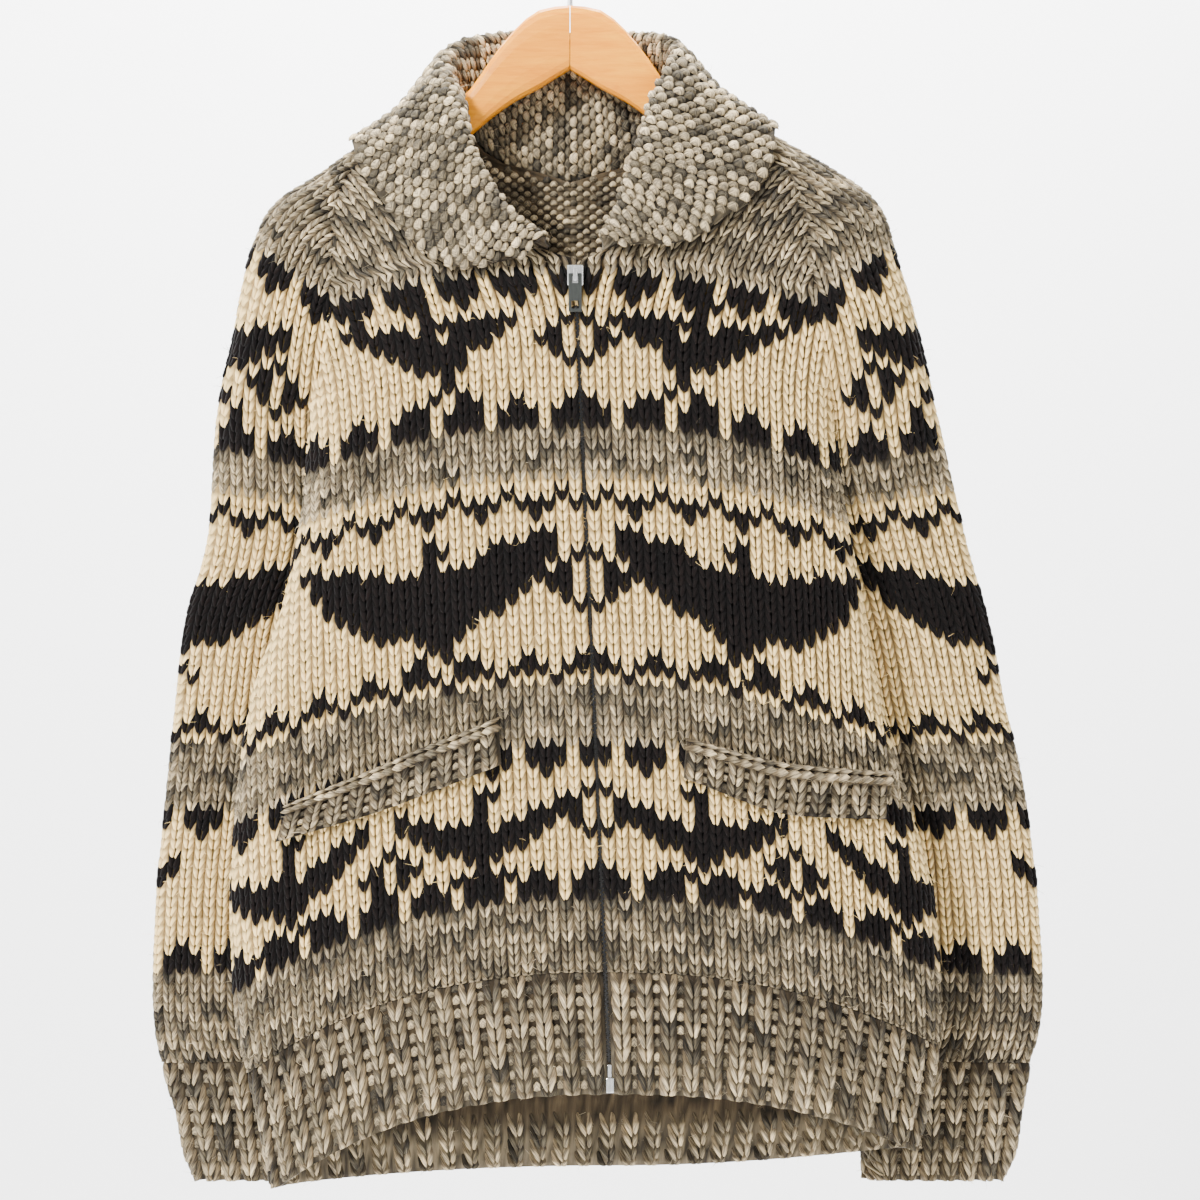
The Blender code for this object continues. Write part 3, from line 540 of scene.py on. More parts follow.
# One leaf of yarn, pointed at both ends and rounded on top, as a small strip of faces.
def makeLeaf(rings):
    bm = bmesh.new()
    bmesh.ops.create_grid(bm, x_segments=3, y_segments=rings + 1, size=1.0)
    for end in (-1, 1):
        row = [vert for vert in bm.verts if abs(vert.co.y - end) < 1e-4]
        bmesh.ops.pointmerge(bm, verts=row, merge_co=(0, end, 0))
    bmesh.ops.triangulate(bm, faces=bm.faces)
    bm.verts.index_update()
    local = np.array([vert.co for vert in bm.verts])
    faces = np.array([[vert.index for vert in face.verts] for face in bm.faces])
    bm.free()
    t = (local[:, 1] + 1) / 2
    tips = (t < 0.01) | (t > 0.99)
    swell = np.where(tips, 0.0, np.sin(np.pi * np.clip(t, 0, 1) ** 0.85) ** 0.6)
    top = np.where(np.abs(local[:, 0]) < 0.5, 1.0, 0.0)
    return SimpleNamespace(t=t, side=np.clip(local[:, 0] * 1.5, -1, 1), faces=faces, tips=tips,
                           swell=swell, top=top, edge=local[:, 0])


# One leg of a stitch: low where it starts under the row above, and proud where it ends.
def legShape(rings):
    leaf = makeLeaf(rings)
    t = leaf.t = np.interp(leaf.t, (0, 0.2, 0.8, 1), (0, 0.15, 0.9, 1))
    swell = np.interp(t, (0, 0.15, 0.4, 0.7, 0.9, 1), (0, 0.72, 1.0, 0.96, 0.56, 0))
    inner = np.where(leaf.top > 0, 0.48, 1.0)
    leaf.a = 0.335 - 0.25 * smoothStep(0.3, 1.12, t) + 0.212 * swell * np.sign(leaf.edge) * inner
    leaf.b = -1.0 + 2.22 * t
    body = -0.6 + 2.9 * t
    leaf.h = body + swell * np.where(leaf.top > 0, 1.15, -1.2)
    leaf.h = np.where(leaf.tips, np.where(t < 0.5, -1.0, 1.1), leaf.h)
    leaf.along = t
    return leaf


# A purl or garter bump: a short arch of yarn lying along the row.
def bumpShape(rings):
    leaf = makeLeaf(rings)
    t, inner = leaf.t, np.where(leaf.top > 0, 0.5, 1.0)
    arch = np.sin(np.pi * np.clip(t, 0, 1))
    swell = np.where(leaf.tips, 0.0, 0.62 + 0.38 * arch)
    leaf.a = (t - 0.5) * 1.16
    leaf.b = 0.46 * swell * np.sign(leaf.edge) * inner - 0.14 * arch
    leaf.h = 1.5 * arch + swell * np.where(leaf.top > 0, 1.1, -0.9) - 0.7
    leaf.along = 1 - 0.55 * np.abs(2 * t - 1)
    return leaf


# A chain along an edge: sideways stitches, each held in the one before.
def chainShape(rings, way):
    leaf = makeLeaf(rings)
    t, inner = leaf.t, np.where(leaf.top > 0, 0.5, 1.0)
    swell = np.interp(t, (0, 0.2, 0.7, 0.9, 1), (0, 0.8, 1, 0.8, 0))
    leaf.a = -0.75 + 1.75 * t
    leaf.b = way * (0.34 - 0.16 * t) + 0.26 * swell * np.sign(leaf.edge) * inner
    leaf.h = -0.6 + 2.4 * t + swell * np.where(leaf.top > 0, 1.1, -1.1)
    leaf.along = t
    return leaf


def meshFromArrays(name, points, faces, colours, marl, seeds, uvs, material):
    mesh = bpy.data.meshes.new(name)
    mesh.vertices.add(len(points))
    mesh.vertices.foreach_set("co", (points * mm).astype(np.float32).ravel())
    corners = faces.shape[1]
    mesh.loops.add(faces.size)
    mesh.loops.foreach_set("vertex_index", faces.astype(np.int32).ravel())
    mesh.polygons.add(len(faces))
    mesh.polygons.foreach_set("loop_start", np.arange(0, faces.size, corners, dtype=np.int32))
    mesh.update(calc_edges=True)
    yarn = mesh.color_attributes.new("yarn", "FLOAT_COLOR", "POINT")
    rgba = np.concatenate([colours, np.ones((len(colours), 1))], axis=1)
    yarn.data.foreach_set("color", rgba.astype(np.float32).ravel())
    mesh.attributes.new("marl", "FLOAT", "POINT").data.foreach_set("value", marl.astype(np.float32))
    mesh.attributes.new("seed", "FLOAT", "POINT").data.foreach_set("value", seeds.astype(np.float32))
    layer = mesh.uv_layers.new(name="yarnMap")
    layer.data.foreach_set("uv", uvs[faces.ravel()].astype(np.float32).ravel())
    mesh.validate()
    mesh.shade_smooth()
    mesh.materials.append(material)
    made = bpy.data.objects.new(name, mesh)
    bpy.context.scene.collection.objects.link(made)
    return made


# A run of stitches on a fabric: where each lies, its size, its yarn and how far it stands out.
class Stitches:
    def __init__(self):
        self.s, self.row, self.wide, self.tall, self.lift = [], [], [], [], []
        self.colour, self.marl = [], []

    def add(self, s, row, colour, marl, wide=1.0, tall=1.0, lift=0.0):
        self.s.append(s)
        self.row.append(row)
        self.colour.append(colour)
        self.marl.append(marl)
        self.wide.append(wide)
        self.tall.append(tall)
        self.lift.append(lift)


def layStitches(fabric, stitches, shape, wale=None, signs=(-1, 1), face=1, base=0.3, lean=None):
    wale = wale or knit["wale"]
    count = len(stitches.s)
    size = len(shape.t)
    s, row, wide, tall, lift = (
        np.array(values, float)[:, None]
        for values in (stitches.s, stitches.row, stitches.wide, stitches.tall, stitches.lift)
    )
    offsets = np.repeat(np.arange(count) * size, len(shape.faces))[:, None]
    run = np.tile(shape.faces, (count, 1)) + offsets
    points, faces, seeds, uvs, tones = [], [], [], [], []
    for order, sign in enumerate(signs):
        jitter = rng.normal(0, 1, (count, 6))
        a = sign * shape.a[None] * wide * (1 + 0.04 * jitter[:, 0:1])
        a = a + 0.03 * jitter[:, 1:2] * (shape.t[None] - 0.5) + 0.012 * jitter[:, 5:6]
        b = shape.b[None] * tall * (1 + 0.035 * jitter[:, 2:3]) + 0.03 * jitter[:, 3:4]
        h = shape.h[None] * (1 + 0.05 * jitter[:, 4:5]) + lift
        across = s + a * wale
        if lean:
            across = across + lean(row + b, s) - lean(row, s)
        points.append(fabric.read(across, row + b, (h + base) * face).reshape(-1, 3))
        faces.append((run if sign > 0 else run[:, ::-1]) + order * count * size)
        seeds.append(np.repeat(rng.random(count), size))
        uvs.append(np.stack([np.tile(shape.side, count), np.tile(shape.along, count)], axis=1))
        # the two legs are different lengths of the same yarn, so their tones differ too
        marled = np.array(stitches.marl)[:, None] > 0.5
        tone = 1 + np.where(marled, 0.24, 0.055) * rng.normal(0, 1, (count, 1))
        tones.append(np.repeat(np.array(stitches.colour) * np.clip(tone, 0.4, 1.5), size, axis=0))
    colour = np.concatenate(tones)
    marl = np.tile(np.repeat(np.array(stitches.marl), size), len(signs))
    points, faces = np.concatenate(points), np.concatenate(faces)
    # the leaves are open below, so their faces are turned to look out of the cloth
    tried = faces[:: max(1, len(faces) // 3000)]
    corners = points[tried]
    looks = np.cross(corners[:, 1] - corners[:, 0], corners[:, 2] - corners[:, 0])
    middle = fabric.points.reshape(-1, 3)
    nearest = fabric.normals.reshape(-1, 3)
    votes = 0.0
    for corner, look in zip(corners[:200, 0], looks[:200]):
        votes += float(look @ nearest[np.argmin(((middle - corner) ** 2).sum(axis=1))]) * face
    if votes < 0:
        faces = faces[:, ::-1]
    return points, faces, colour, marl, np.concatenate(seeds), np.concatenate(uvs)


def joined(*runs):
    points, faces, colour, marl, seeds, uvs = [], [], [], [], [], []
    total = 0
    for run in runs:
        points.append(run[0])
        faces.append(run[1] + total)
        total += len(run[0])
        for kept, values in zip((colour, marl, seeds, uvs), run[2:]):
            kept.append(values)
    return tuple(np.concatenate(values) for values in (points, faces, colour, marl, seeds, uvs))


# Yarn for one stitch: marled grey shifts along the strand, cream and dark vary a little.
def yarnOf(kind, row, column, tone=0.0):
    wander = rng.normal(0, 1)
    if kind == 1:
        colour = np.array(yarns["cream"]) * (1 + 0.05 * wander)
        colour[2] *= 1 - 0.05 * rng.random()
        return colour, 0.12
    if kind == 2:
        return np.array(yarns["dark"]) * (1 + 0.18 * wander), 0.0
    wave = math.sin(column * 0.9 + row * 2.1) + math.sin(column * 0.37 - row * 1.3 + 2)
    mix = min(max(0.46 + 0.16 * wave + 0.28 * wander + tone, 0.0), 1.0)
    light, shade = np.array(yarns["greyLight"]), np.array(yarns["greyDark"])
    return shade + (light - shade) * mix, 1.0


# Charts. Each motif is drawn as it is knitted, top row first: # dark, o cream.
motifs = dict(
    smallEagle=(
        ".....##......",
        "##....#......",
        ".####.#######",
        "..#####o####.",
        "...########..",
        "....#####....",
        ".....####....",
        ".......#.....",
        ".......#.....",
        "......#.#....",
        ".....#...#...",
    ),
    bigBird=(
        "##........#.......##",
        ".####.....##...#####",
        ".######...#...######",
        "..#################.",
        "..#################.",
        "...###############..",
        "....#############...",
        ".....###########....",
        "......########......",
        ".........####.......",
        "..........##........",
        ".........#.#........",
        "........#...#.......",
    ),
    smallBird=(
        "......##.....",
        "#.....#.....#",
        "###...#...###",
        ".######o####.",
        "..#########..",
        "...#######...",
        ".....###.....",
        "......#......",
        "....##.##....",
        "...#.....#...",
    ),
    diamond=("..#..", ".#o#.", "##o##", ".#o#.", "..#.."),
    zipDiamond=("#..", "o#.", "o##", "o#.", "#.."),
    zipDiamondTall=("#..", "o#.", "o##", "o##", "o#.", "#.."),
)
teethKinds = dict(
    down=("###.", "###.", ".#.."),
    up=(".#..", "###.", "###."),
    zigDown=("...#", "###.", ".#.."),
    zigUp=(".#..", "###.", "...#"),
)
def makeChart(plan, columns, firstColumn=0):
    low, high = plan["rows"]
    chart = np.zeros((high - low, columns), int)
    for first, last in plan["cream"]:
        chart[first - low : last - low] = 1
    for kind, first, phase in plan["teeth"]:
        for down, pattern in enumerate(teethKinds[kind]):
            for column in range(columns):
                if pattern[(column + firstColumn + phase) % 4] == "#":
                    chart[first + down - low, column] = 2
    for name, start, first in plan["motifs"]:
        for down, line in enumerate(motifs[name]):
            # the fronts' motifs look to the zip, so their last column lies nearest to it
            marks = line[::-1] if firstColumn == 0 and not name.startswith("zip") else line
            for column, mark in enumerate(marks):
                at = start + column - firstColumn
                if mark != "." and 0 <= at < columns:
                    chart[first + down - low, at] = 2 if mark == "#" else 1
    return chart


def readChart(chart, plan, row, column, firstColumn=0):
    low = plan["rows"][0]
    r = min(max(int(row) - low, 0), chart.shape[0] - 1)
    c = min(max(int(column) - firstColumn, 0), chart.shape[1] - 1)
    return int(chart[r, c])


# The one wool material: yarn colour, streaks of the marl, fine fibres, painted shade where each leg dips
# under the row above and along its sides, and the ply's twist.
class Maths:
    def __init__(self, tree, socket):
        self.tree, self.socket = tree, socket

    def combine(self, other, operation, swapped=False):
        node = self.tree.nodes.new("ShaderNodeMath")
        node.operation = operation
        pair = [self.socket, other.socket if isinstance(other, Maths) else other]
        if swapped:
            pair.reverse()
        for entry, value in zip(node.inputs, pair):
            if isinstance(value, (int, float)):
                entry.default_value = value
            else:
                self.tree.links.new(value, entry)
        return Maths(self.tree, node.outputs[0])

    def __add__(self, other):
        return self.combine(other, "ADD")

    __radd__ = __add__

    def __mul__(self, other):
        return self.combine(other, "MULTIPLY")

    __rmul__ = __mul__

    def __sub__(self, other):
        return self.combine(other, "SUBTRACT")

    def __rsub__(self, other):
        return self.combine(other, "SUBTRACT", True)

    def __pow__(self, other):
        return self.combine(other, "POWER")

    def sine(self):
        return self.combine(0.0, "SINE")

    def absolute(self):
        return self.combine(0.0, "ABSOLUTE")


class Finish:
    def __init__(self, name, roughness, metallic=0.0, **fixed):
        self.material = bpy.data.materials.new(name)
        self.material.use_nodes = True
        self.tree = self.material.node_tree
        self.shader = self.tree.nodes["Principled BSDF"]
        self.shader.inputs["Roughness"].default_value = roughness
        self.shader.inputs["Metallic"].default_value = metallic
        for key, value in fixed.items():
            self.shader.inputs[key].default_value = value

    # settings come first, then the values or links of the sockets
    def node(self, kind, settings=None, output=0, **sockets):
        made = self.tree.nodes.new(kind)
        for key, value in (settings or {}).items():
            if key == "stops":
                ramp = made.color_ramp
                while len(ramp.elements) < len(value):
                    ramp.elements.new(0.5)
                for element, (position, colour) in zip(ramp.elements, value):
                    element.position = position
                    element.color = (*colour, 1.0)
            else:
                setattr(made, key, value)
        for key, value in sockets.items():
            entry = made.inputs[int(key[1:])] if key[1:].isdigit() else made.inputs[key.replace("_", " ")]
            if isinstance(value, Maths):
                value = value.socket
            if isinstance(value, bpy.types.NodeSocket):
                self.tree.links.new(value, entry)
            else:
                entry.default_value = value
        return made.outputs[output]

    def maths(self, socket):
        return Maths(self.tree, socket)

    def feed(self, name, value):
        self.tree.links.new(value.socket if isinstance(value, Maths) else value,
                            self.shader.inputs[name])

    def mixColour(self, factor, first, second, blend="MIX"):
        return self.node("ShaderNodeMix", {"data_type": "RGBA", "blend_type": blend}, 2,
                         i0=factor, i6=first, i7=second)


def woolFinish():
    wool = Finish("knittedWool", 0.92, **{"Sheen Weight": 0.05, "Sheen Roughness": 0.5,
                                          "Specular IOR Level": 0.12})
    yarn = wool.node("ShaderNodeAttribute", {"attribute_name": "yarn"})
    marl = wool.maths(wool.node("ShaderNodeAttribute", {"attribute_name": "marl"}, 2))
    seed = wool.maths(wool.node("ShaderNodeAttribute", {"attribute_name": "seed"}, 2))
    split = wool.node("ShaderNodeSeparateXYZ",
                      Vector=wool.node("ShaderNodeUVMap", {"uv_map": "yarnMap"})).node
    side, along = wool.maths(split.outputs[0]), wool.maths(split.outputs[1])
    twist = side + along * 2.6
    streakAt = wool.node("ShaderNodeCombineXYZ", X=twist * 1.5, Y=along * 1.2, Z=seed * 47.0)
    streak = wool.maths(wool.node("ShaderNodeTexNoise", Vector=streakAt, Scale=1.7, Detail=2.0,
                                  Roughness=0.6))
    fibreAt = wool.node("ShaderNodeCombineXYZ", X=side * 5.0 + along * 2.0, Y=along * 3.0,
                        Z=seed * 91.0)
    fibre = wool.maths(wool.node("ShaderNodeTexNoise", Vector=fibreAt, Scale=3.2, Detail=3.0,
                                 Roughness=0.7))
    pale = wool.node("ShaderNodeMapRange", {"clamp": True}, Value=streak, i1=0.40, i2=0.62, i3=0.0,
                     i4=1.0)
    shade = wool.mixColour(1.0, yarn, (0.44, 0.44, 0.46, 1.0), "MULTIPLY")
    bright = wool.mixColour(1.0, yarn, (1.5, 1.44, 1.26, 1.0), "MULTIPLY")
    streaked = wool.mixColour(pale, shade, bright)
    colour = wool.mixColour(marl, yarn, streaked)
    tint = wool.node("ShaderNodeValToRGB", {"stops": ((0.25, (0.78, 0.76, 0.73)),
                                                      (0.75, (1.10, 1.10, 1.10)))}, Fac=fibre)
    colour = wool.mixColour(1.0, colour, tint, "MULTIPLY")
    # painted shade: each leg is darkened towards (0.10, 0.07, 0.045) of its colour where it dips under
    # the tip of the row above and along its sunk sides, for the shadows between the stitches
    start = wool.maths(wool.node("ShaderNodeMapRange", {"interpolation_type": "SMOOTHSTEP"},
                                 Value=along, i1=0.44, i2=0.74, i3=0.25, i4=1.0))
    edge = wool.maths(wool.node("ShaderNodeMapRange", {"interpolation_type": "SMOOTHSTEP"},
                                Value=side.absolute(), i1=0.55, i2=1.0, i3=1.0, i4=0.5))
    paintedLegShade = start * edge
    colour = wool.mixColour(paintedLegShade, wool.mixColour(1.0, colour, (0.10, 0.07, 0.045, 1), "MULTIPLY"),
                            colour)
    wool.feed("Base Color", colour)
    groove = (twist * 5.0).sine()
    height = fibre * 0.75 + groove * 0.22
    wool.feed("Normal", wool.node("ShaderNodeBump", Height=height, Strength=0.55, Distance=0.0007))
    return wool.material


woolMaterial = woolFinish()


def groundShell(name, fabric, colourAt, outer, inner, rowStep, columns, closed=False, rise=None):
    # the cloth that the stitches stand on: an outer and an inner face, closed round the edges
    first, last = fabric.firstRow, fabric.firstRow + fabric.rows - 1
    rows = np.linspace(first, last, max(2, round((last - first) / rowStep) + 1))
    parts = np.linspace(0, 1, columns)
    grid = np.zeros((len(rows), columns, 2))
    for index, row in enumerate(rows):
        low, high = fabric.span(row)
        grid[index, :, 0] = low + (high - low) * parts
        grid[index, :, 1] = row
    out = np.full(grid.shape[:2], float(outer))
    if rise:
        out = out + rise(parts)[None, :]
    outerPoints = fabric.read(grid[..., 0], grid[..., 1], out)
    innerPoints = fabric.read(grid[..., 0], grid[..., 1], np.full(grid.shape[:2], inner))
    count = grid.shape[0] * columns
    index = np.arange(count).reshape(grid.shape[:2])
    a, b = index[:-1, :-1].ravel(), index[:-1, 1:].ravel()
    c, d = index[1:, 1:].ravel(), index[1:, :-1].ravel()
    front = np.stack([a, d, c, b], axis=1)
    rim = []
    loops = [(index[0], 1), (index[-1], -1)]
    if not closed:
        loops += [(index[:, 0], -1), (index[:, -1], 1)]
    for line, turn in loops:
        near, far = line[:-1], line[1:]
        quads = np.stack([near, far, far + count, near + count], axis=1)
        rim.append(quads if turn > 0 else quads[:, ::-1])
    faces = np.concatenate([front, front[:, ::-1] + count, *rim])
    points = np.concatenate([outerPoints.reshape(-1, 3), innerPoints.reshape(-1, 3)])
    colours = np.array([colourAt(s, row) for s, row in grid.reshape(-1, 2)])
    uvs = np.concatenate([grid.reshape(-1, 2) / 10] * 2)
    # the inner face gets 1.9 times the outer face's colour, so it carries less of the painted shade
    made = meshFromArrays(name, points, faces, np.concatenate([colours, colours * 1.9]),
                          np.full(count * 2, 0.4), np.zeros(count * 2), uvs, woolMaterial)
    bm = bmesh.new()
    bm.from_mesh(made.data)
    bmesh.ops.remove_doubles(bm, verts=bm.verts, dist=2e-5)
    bmesh.ops.recalc_face_normals(bm, faces=bm.faces)
    bm.to_mesh(made.data)
    bm.free()
    return made


def flatSize(fabric):
    heights = np.linalg.norm(np.diff(fabric.points, axis=0), axis=2).mean(axis=1)
    widths = (fabric.lengths[:-1] + fabric.lengths[1:]) / 2
    width, height = float(fabric.lengths.max()) * mm, float(heights.sum()) * mm
    return width, height, min(float((heights * widths).sum()) * mm * mm, width * height)


def declareCloth(shell, fabric, node, others):
    width, height, area = flatSize(fabric)
    for piece in [shell, *others]:
        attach(piece, "garment")
    if node:
        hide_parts(node)


# painted shade: the ground cloth under the stitches is coloured 0.40 of its yarn, for the shade in the
# gaps between the stitches
def shaded(kind, row, column):
    return yarnOf(kind, row, column)[0] * 0.40


def toneOf(plan, row):
    # the marl of each grey band turns paler towards its last rows
    for first, _ in plan["cream"]:
        if first - 4 <= row < first:
            return 0.05 * (row - first + 5)
    return -0.04


def stitchPanel(fabric, chart, plan, shiftOf, rows, columns, offset=0.0, margin=-3.0, firstColumn=0,
                mirror=False):
    stitches = Stitches()
    for row in rows:
        low, high = fabric.span(row + 0.5)
        for column in columns:
            base = (column + 0.5) * knit["wale"] + offset
            s = base + float(shiftOf(row + 0.5, base))
            if not low + margin < s < high - margin:
                continue
            read = -1 - column if mirror else column
            kind = readChart(chart, plan, row, read, firstColumn)
            colour, marl = yarnOf(kind, row, column, toneOf(plan, row))
            # the dark yarn is thicker, so its stitches stand over their neighbours
            stitches.add(s, row + 0.5, colour, marl, 1.06 if kind == 2 else 1.0, 1.0,
                         0.5 if kind == 2 else 0.0)
    return stitches


def yokeShift(row):
    # how far the columns have moved out along a row, going up the yoke
    d = np.maximum(0.0, 11.0 - row) * knit["row"]
    return 0.5 * knit["lean"] * d * d / 150


def frontShift(row, base):
    near = smoothStep(0, 120, base + 8 * np.maximum(0, 8 - row))
    return yokeShift(row) * near


def noShift(row, base):
    return 0.0


firstKnitRow, lastKnitRow = -17, 68


def rowDropOf(row):
    # the side drop of a front's row: the rows go down the zip by even steps
    centre = knit["firstDrop"] + knit["row"] * row
    keys = np.linspace(knitRows.keys[0], knitRows.keys[-1], 400)
    return float(np.interp(centre, [knitRows.at(key).centre for key in keys], keys))


sideDrops = {row: rowDropOf(row) for row in range(firstKnitRow - 1, lastKnitRow + 2)}
hemTop = 735.0


def panelFabric(side, face):
    lines, starts = [], []
    isFront = face == "front"
    for row in range(firstKnitRow, lastKnitRow + 2):
        sideDrop = min(max(sideDrops[row], 74.0), hemTop) if row <= lastKnitRow else hemTop
        line = halfRow(sideDrop, side, face)
        onZip = knitRows.at(sideDrop).centre > zipTop
        first = (frontEdge if onZip else seam / 2) if isFront else 0.0
        line = spaced(line, 60, first, 0)
        drop = -hookRise - line[0][2]
        lines.append(line)
        starts.append(max(abs(line[0][0] - (zipX(drop) if isFront and onZip else 0.0)), 0.0))
    return Fabric(lines, starts, (0, 0, -450), firstKnitRow)


plans = {}
for side in (left, right):
    plans[side] = dict(
        rows=(-18, 71),
        cream=((0, 15), (20, 40), (46, 61)),
        teeth=(("down", 0, 2), ("up", 12, 1), ("zigDown", 21, 2), ("zigUp", 37, 1), ("down", 46, 2),
               ("up", 58, 1)),
        motifs=(
            ("smallEagle", 4 if side == left else 2, 2),
            ("bigBird", 2, 25),
            ("smallBird", 2 if side == left else 1, 50),
            ("diamond", 13 if side == left else 12, 54),
            ("smallBird", 17, 50),
            ("zipDiamond", 0, 4), ("zipDiamondTall", 0, 27), ("zipDiamond", 0, 50),
        ),
    )

leg, legPlain, bump = legShape(4), legShape(3), bumpShape(3)


def addFront(side):
    fabric = panelFabric(side, "front")
    plan, name = plans[side], sideNames[side]
    chart = makeChart(plan, 44)

    def colourAt(s, row):
        column = (s - frontEdge) / knit["wale"]
        return shaded(readChart(chart, plan, math.floor(row), column), row, column)

    shell = groundShell(f"front_cloth_{name}", fabric, colourAt, -0.4, -3.0, 1, 45)
    stitches = stitchPanel(fabric, chart, plan, frontShift, range(firstKnitRow, lastKnitRow + 1),
                           range(-9, 44), frontEdge)
    worked = meshFromArrays(f"front_stitches_{name}",
                            *layStitches(fabric, stitches, leg, lean=frontShift), woolMaterial)
    declareCloth(shell, fabric, f"front_{name}", [worked])
    print("front", name, len(stitches.s), "stitches")


def addBack():
    # one panel, knitted from its middle to each side
    shells, runs, fabrics = [], [], []
    for side in (left, right):
        fabric = panelFabric(side, "back")
        plan = plans[side]
        chart = makeChart(plan, 44)

        def colourAt(s, row):
            column = s / knit["wale"]
            return shaded(readChart(chart, plan, math.floor(row), column), row, column)

        shells.append(groundShell(f"back_half_{side}", fabric, colourAt, -0.4, -2.4, 1, 41))
        stitches = stitchPanel(fabric, chart, plan, frontShift,
                               range(firstKnitRow, lastKnitRow + 1), range(-9, 44))
        runs.append(layStitches(fabric, stitches, legPlain, lean=frontShift))
        # the wrong side shows inside the neck: two runs of purl bumps to a row
        inside = Stitches()
        for row in range(-14, 8):
            for half in (0, 1):
                for column in range(13):
                    s = (column + 0.25 + 0.5 * half) * knit["wale"]
                    low, high = fabric.span(row + 0.5 * half)
                    if low + 1.5 < s < high - 1.5:
                        kind = readChart(chart, plan, row, column)
                        colour, marl = yarnOf(0 if kind == 2 else kind, row, column)
                        inside.add(s, row + 0.5 * half + 0.25, colour, marl, 0.62, 0.72)
        runs.append(layStitches(fabric, inside, bump, signs=(1,), face=-1, base=2.6))
        fabrics.append(fabric)
    shell = shells[0]
    bm = bmesh.new()
    for half in shells:
        bm.from_mesh(half.data)
    bmesh.ops.remove_doubles(bm, verts=bm.verts, dist=1e-5)
    bm.to_mesh(shell.data)
    bm.free()
    bpy.data.objects.remove(shells[1])
    shell.name = "back_cloth"
    worked = meshFromArrays("back_stitches", *joined(*runs), woolMaterial)
    declareCloth(shell, fabrics[0], "back",
                 [worked])
    print("back", len(worked.data.polygons), "faces")


sleevePlan = dict(
    rows=(-21, 82),
    cream=((0, 17), (21, 46), (53, 70)),
    teeth=(("down", 0, 1), ("up", 14, 0), ("zigDown", 22, 1), ("zigUp", 43, 0), ("down", 53, 1),
           ("up", 67, 0)),
    motifs=(("smallBird", -6, 4), ("diamond", 4, 8), ("diamond", -8, 8), ("bigBird", -10, 27),
            ("smallBird", -2, 57)),
)
sleeve = dict(firstDrop=203.0, row=6.6, firstColumn=-22, columns=44)
cuffTop, cuffEnd = 731.0, 815.0


def sleeveFabrics(side):
    # the yoke's part is open along the raglan seam, and the arm's is a tube
    yokeLines, yokeStarts, armLines, armStarts = [], [], [], []
    firstRow = math.ceil((74 - sleeve["firstDrop"]) / sleeve["row"])
    lastRow = math.floor((cuffTop - sleeve["firstDrop"]) / sleeve["row"])
    armRow = math.floor((underarm - sleeve["firstDrop"]) / sleeve["row"])
    for row in range(firstRow, lastRow + 2):
        drop = min(sleeve["firstDrop"] + sleeve["row"] * row, cuffTop)
        line, gusset = sleeveRing(drop, side)
        start = -lineLengths(line)[24]
        if row <= armRow + 2:
            yokeLines.append(spaced(line, 60))
            yokeStarts.append(start)
        if drop >= underarm:
            armLines.append(np.concatenate([line, gusset[1:-1], line[:1]]))
            armStarts.append(start)
    centre = (side * 205, 30, -480)
    firstArm = lastRow + 2 - len(armLines)
    return (Fabric(yokeLines, yokeStarts, (side * 120, 0, -300), firstRow),
            Fabric(armLines, armStarts, centre, firstArm, 141))


def addSleeve(side):
    name = sideNames[side]
    yoke, arm = sleeveFabrics(side)
    chart = makeChart(sleevePlan, sleeve["columns"], sleeve["firstColumn"])

    def colourAt(s, row):
        column = math.floor(s / knit["wale"])
        kind = readChart(chart, sleevePlan, math.floor(row), column, sleeve["firstColumn"])
        return shaded(kind, row, column)

    shells = [groundShell(f"sleeve_{name}_{index}", fabric, colourAt, -0.4, -3.0, 1, columns, closed)
              for index, (fabric, columns, closed) in enumerate(((yoke, 31, False),
                                                                 (arm, 57, True)))]
    runs, total = [], 0
    seamRow = arm.firstRow
    for fabric, rows in ((yoke, range(yoke.firstRow, seamRow)),
                         (arm, range(seamRow, arm.firstRow + arm.rows - 1))):
        stitches = stitchPanel(fabric, chart, sleevePlan, noShift, rows, range(-18, 36),
                               firstColumn=sleeve["firstColumn"])
        total += len(stitches.s)
        runs.append(layStitches(fabric, stitches, leg))
    shell = shells[0]
    bm = bmesh.new()
    for part in shells:
        bm.from_mesh(part.data)
    bm.to_mesh(shell.data)
    bm.free()
    bpy.data.objects.remove(shells[1])
    shell.name = f"sleeve_cloth_{name}"
    worked = meshFromArrays(f"sleeve_stitches_{name}", *joined(*runs), woolMaterial)
    yokeSize, armSize = flatSize(yoke), flatSize(arm)
    max(yokeSize[0], armSize[0])
    for piece in (shell, worked):
        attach(piece, "garment")
    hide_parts(f"sleeve_{name}")
    print("sleeve", name, total, "stitches")


# Ribs stand out as columns of wide stitches with a purl valley between them.
rib = dict(pitch=16.5, rise=2.6, wale=11.6, row=9.0)


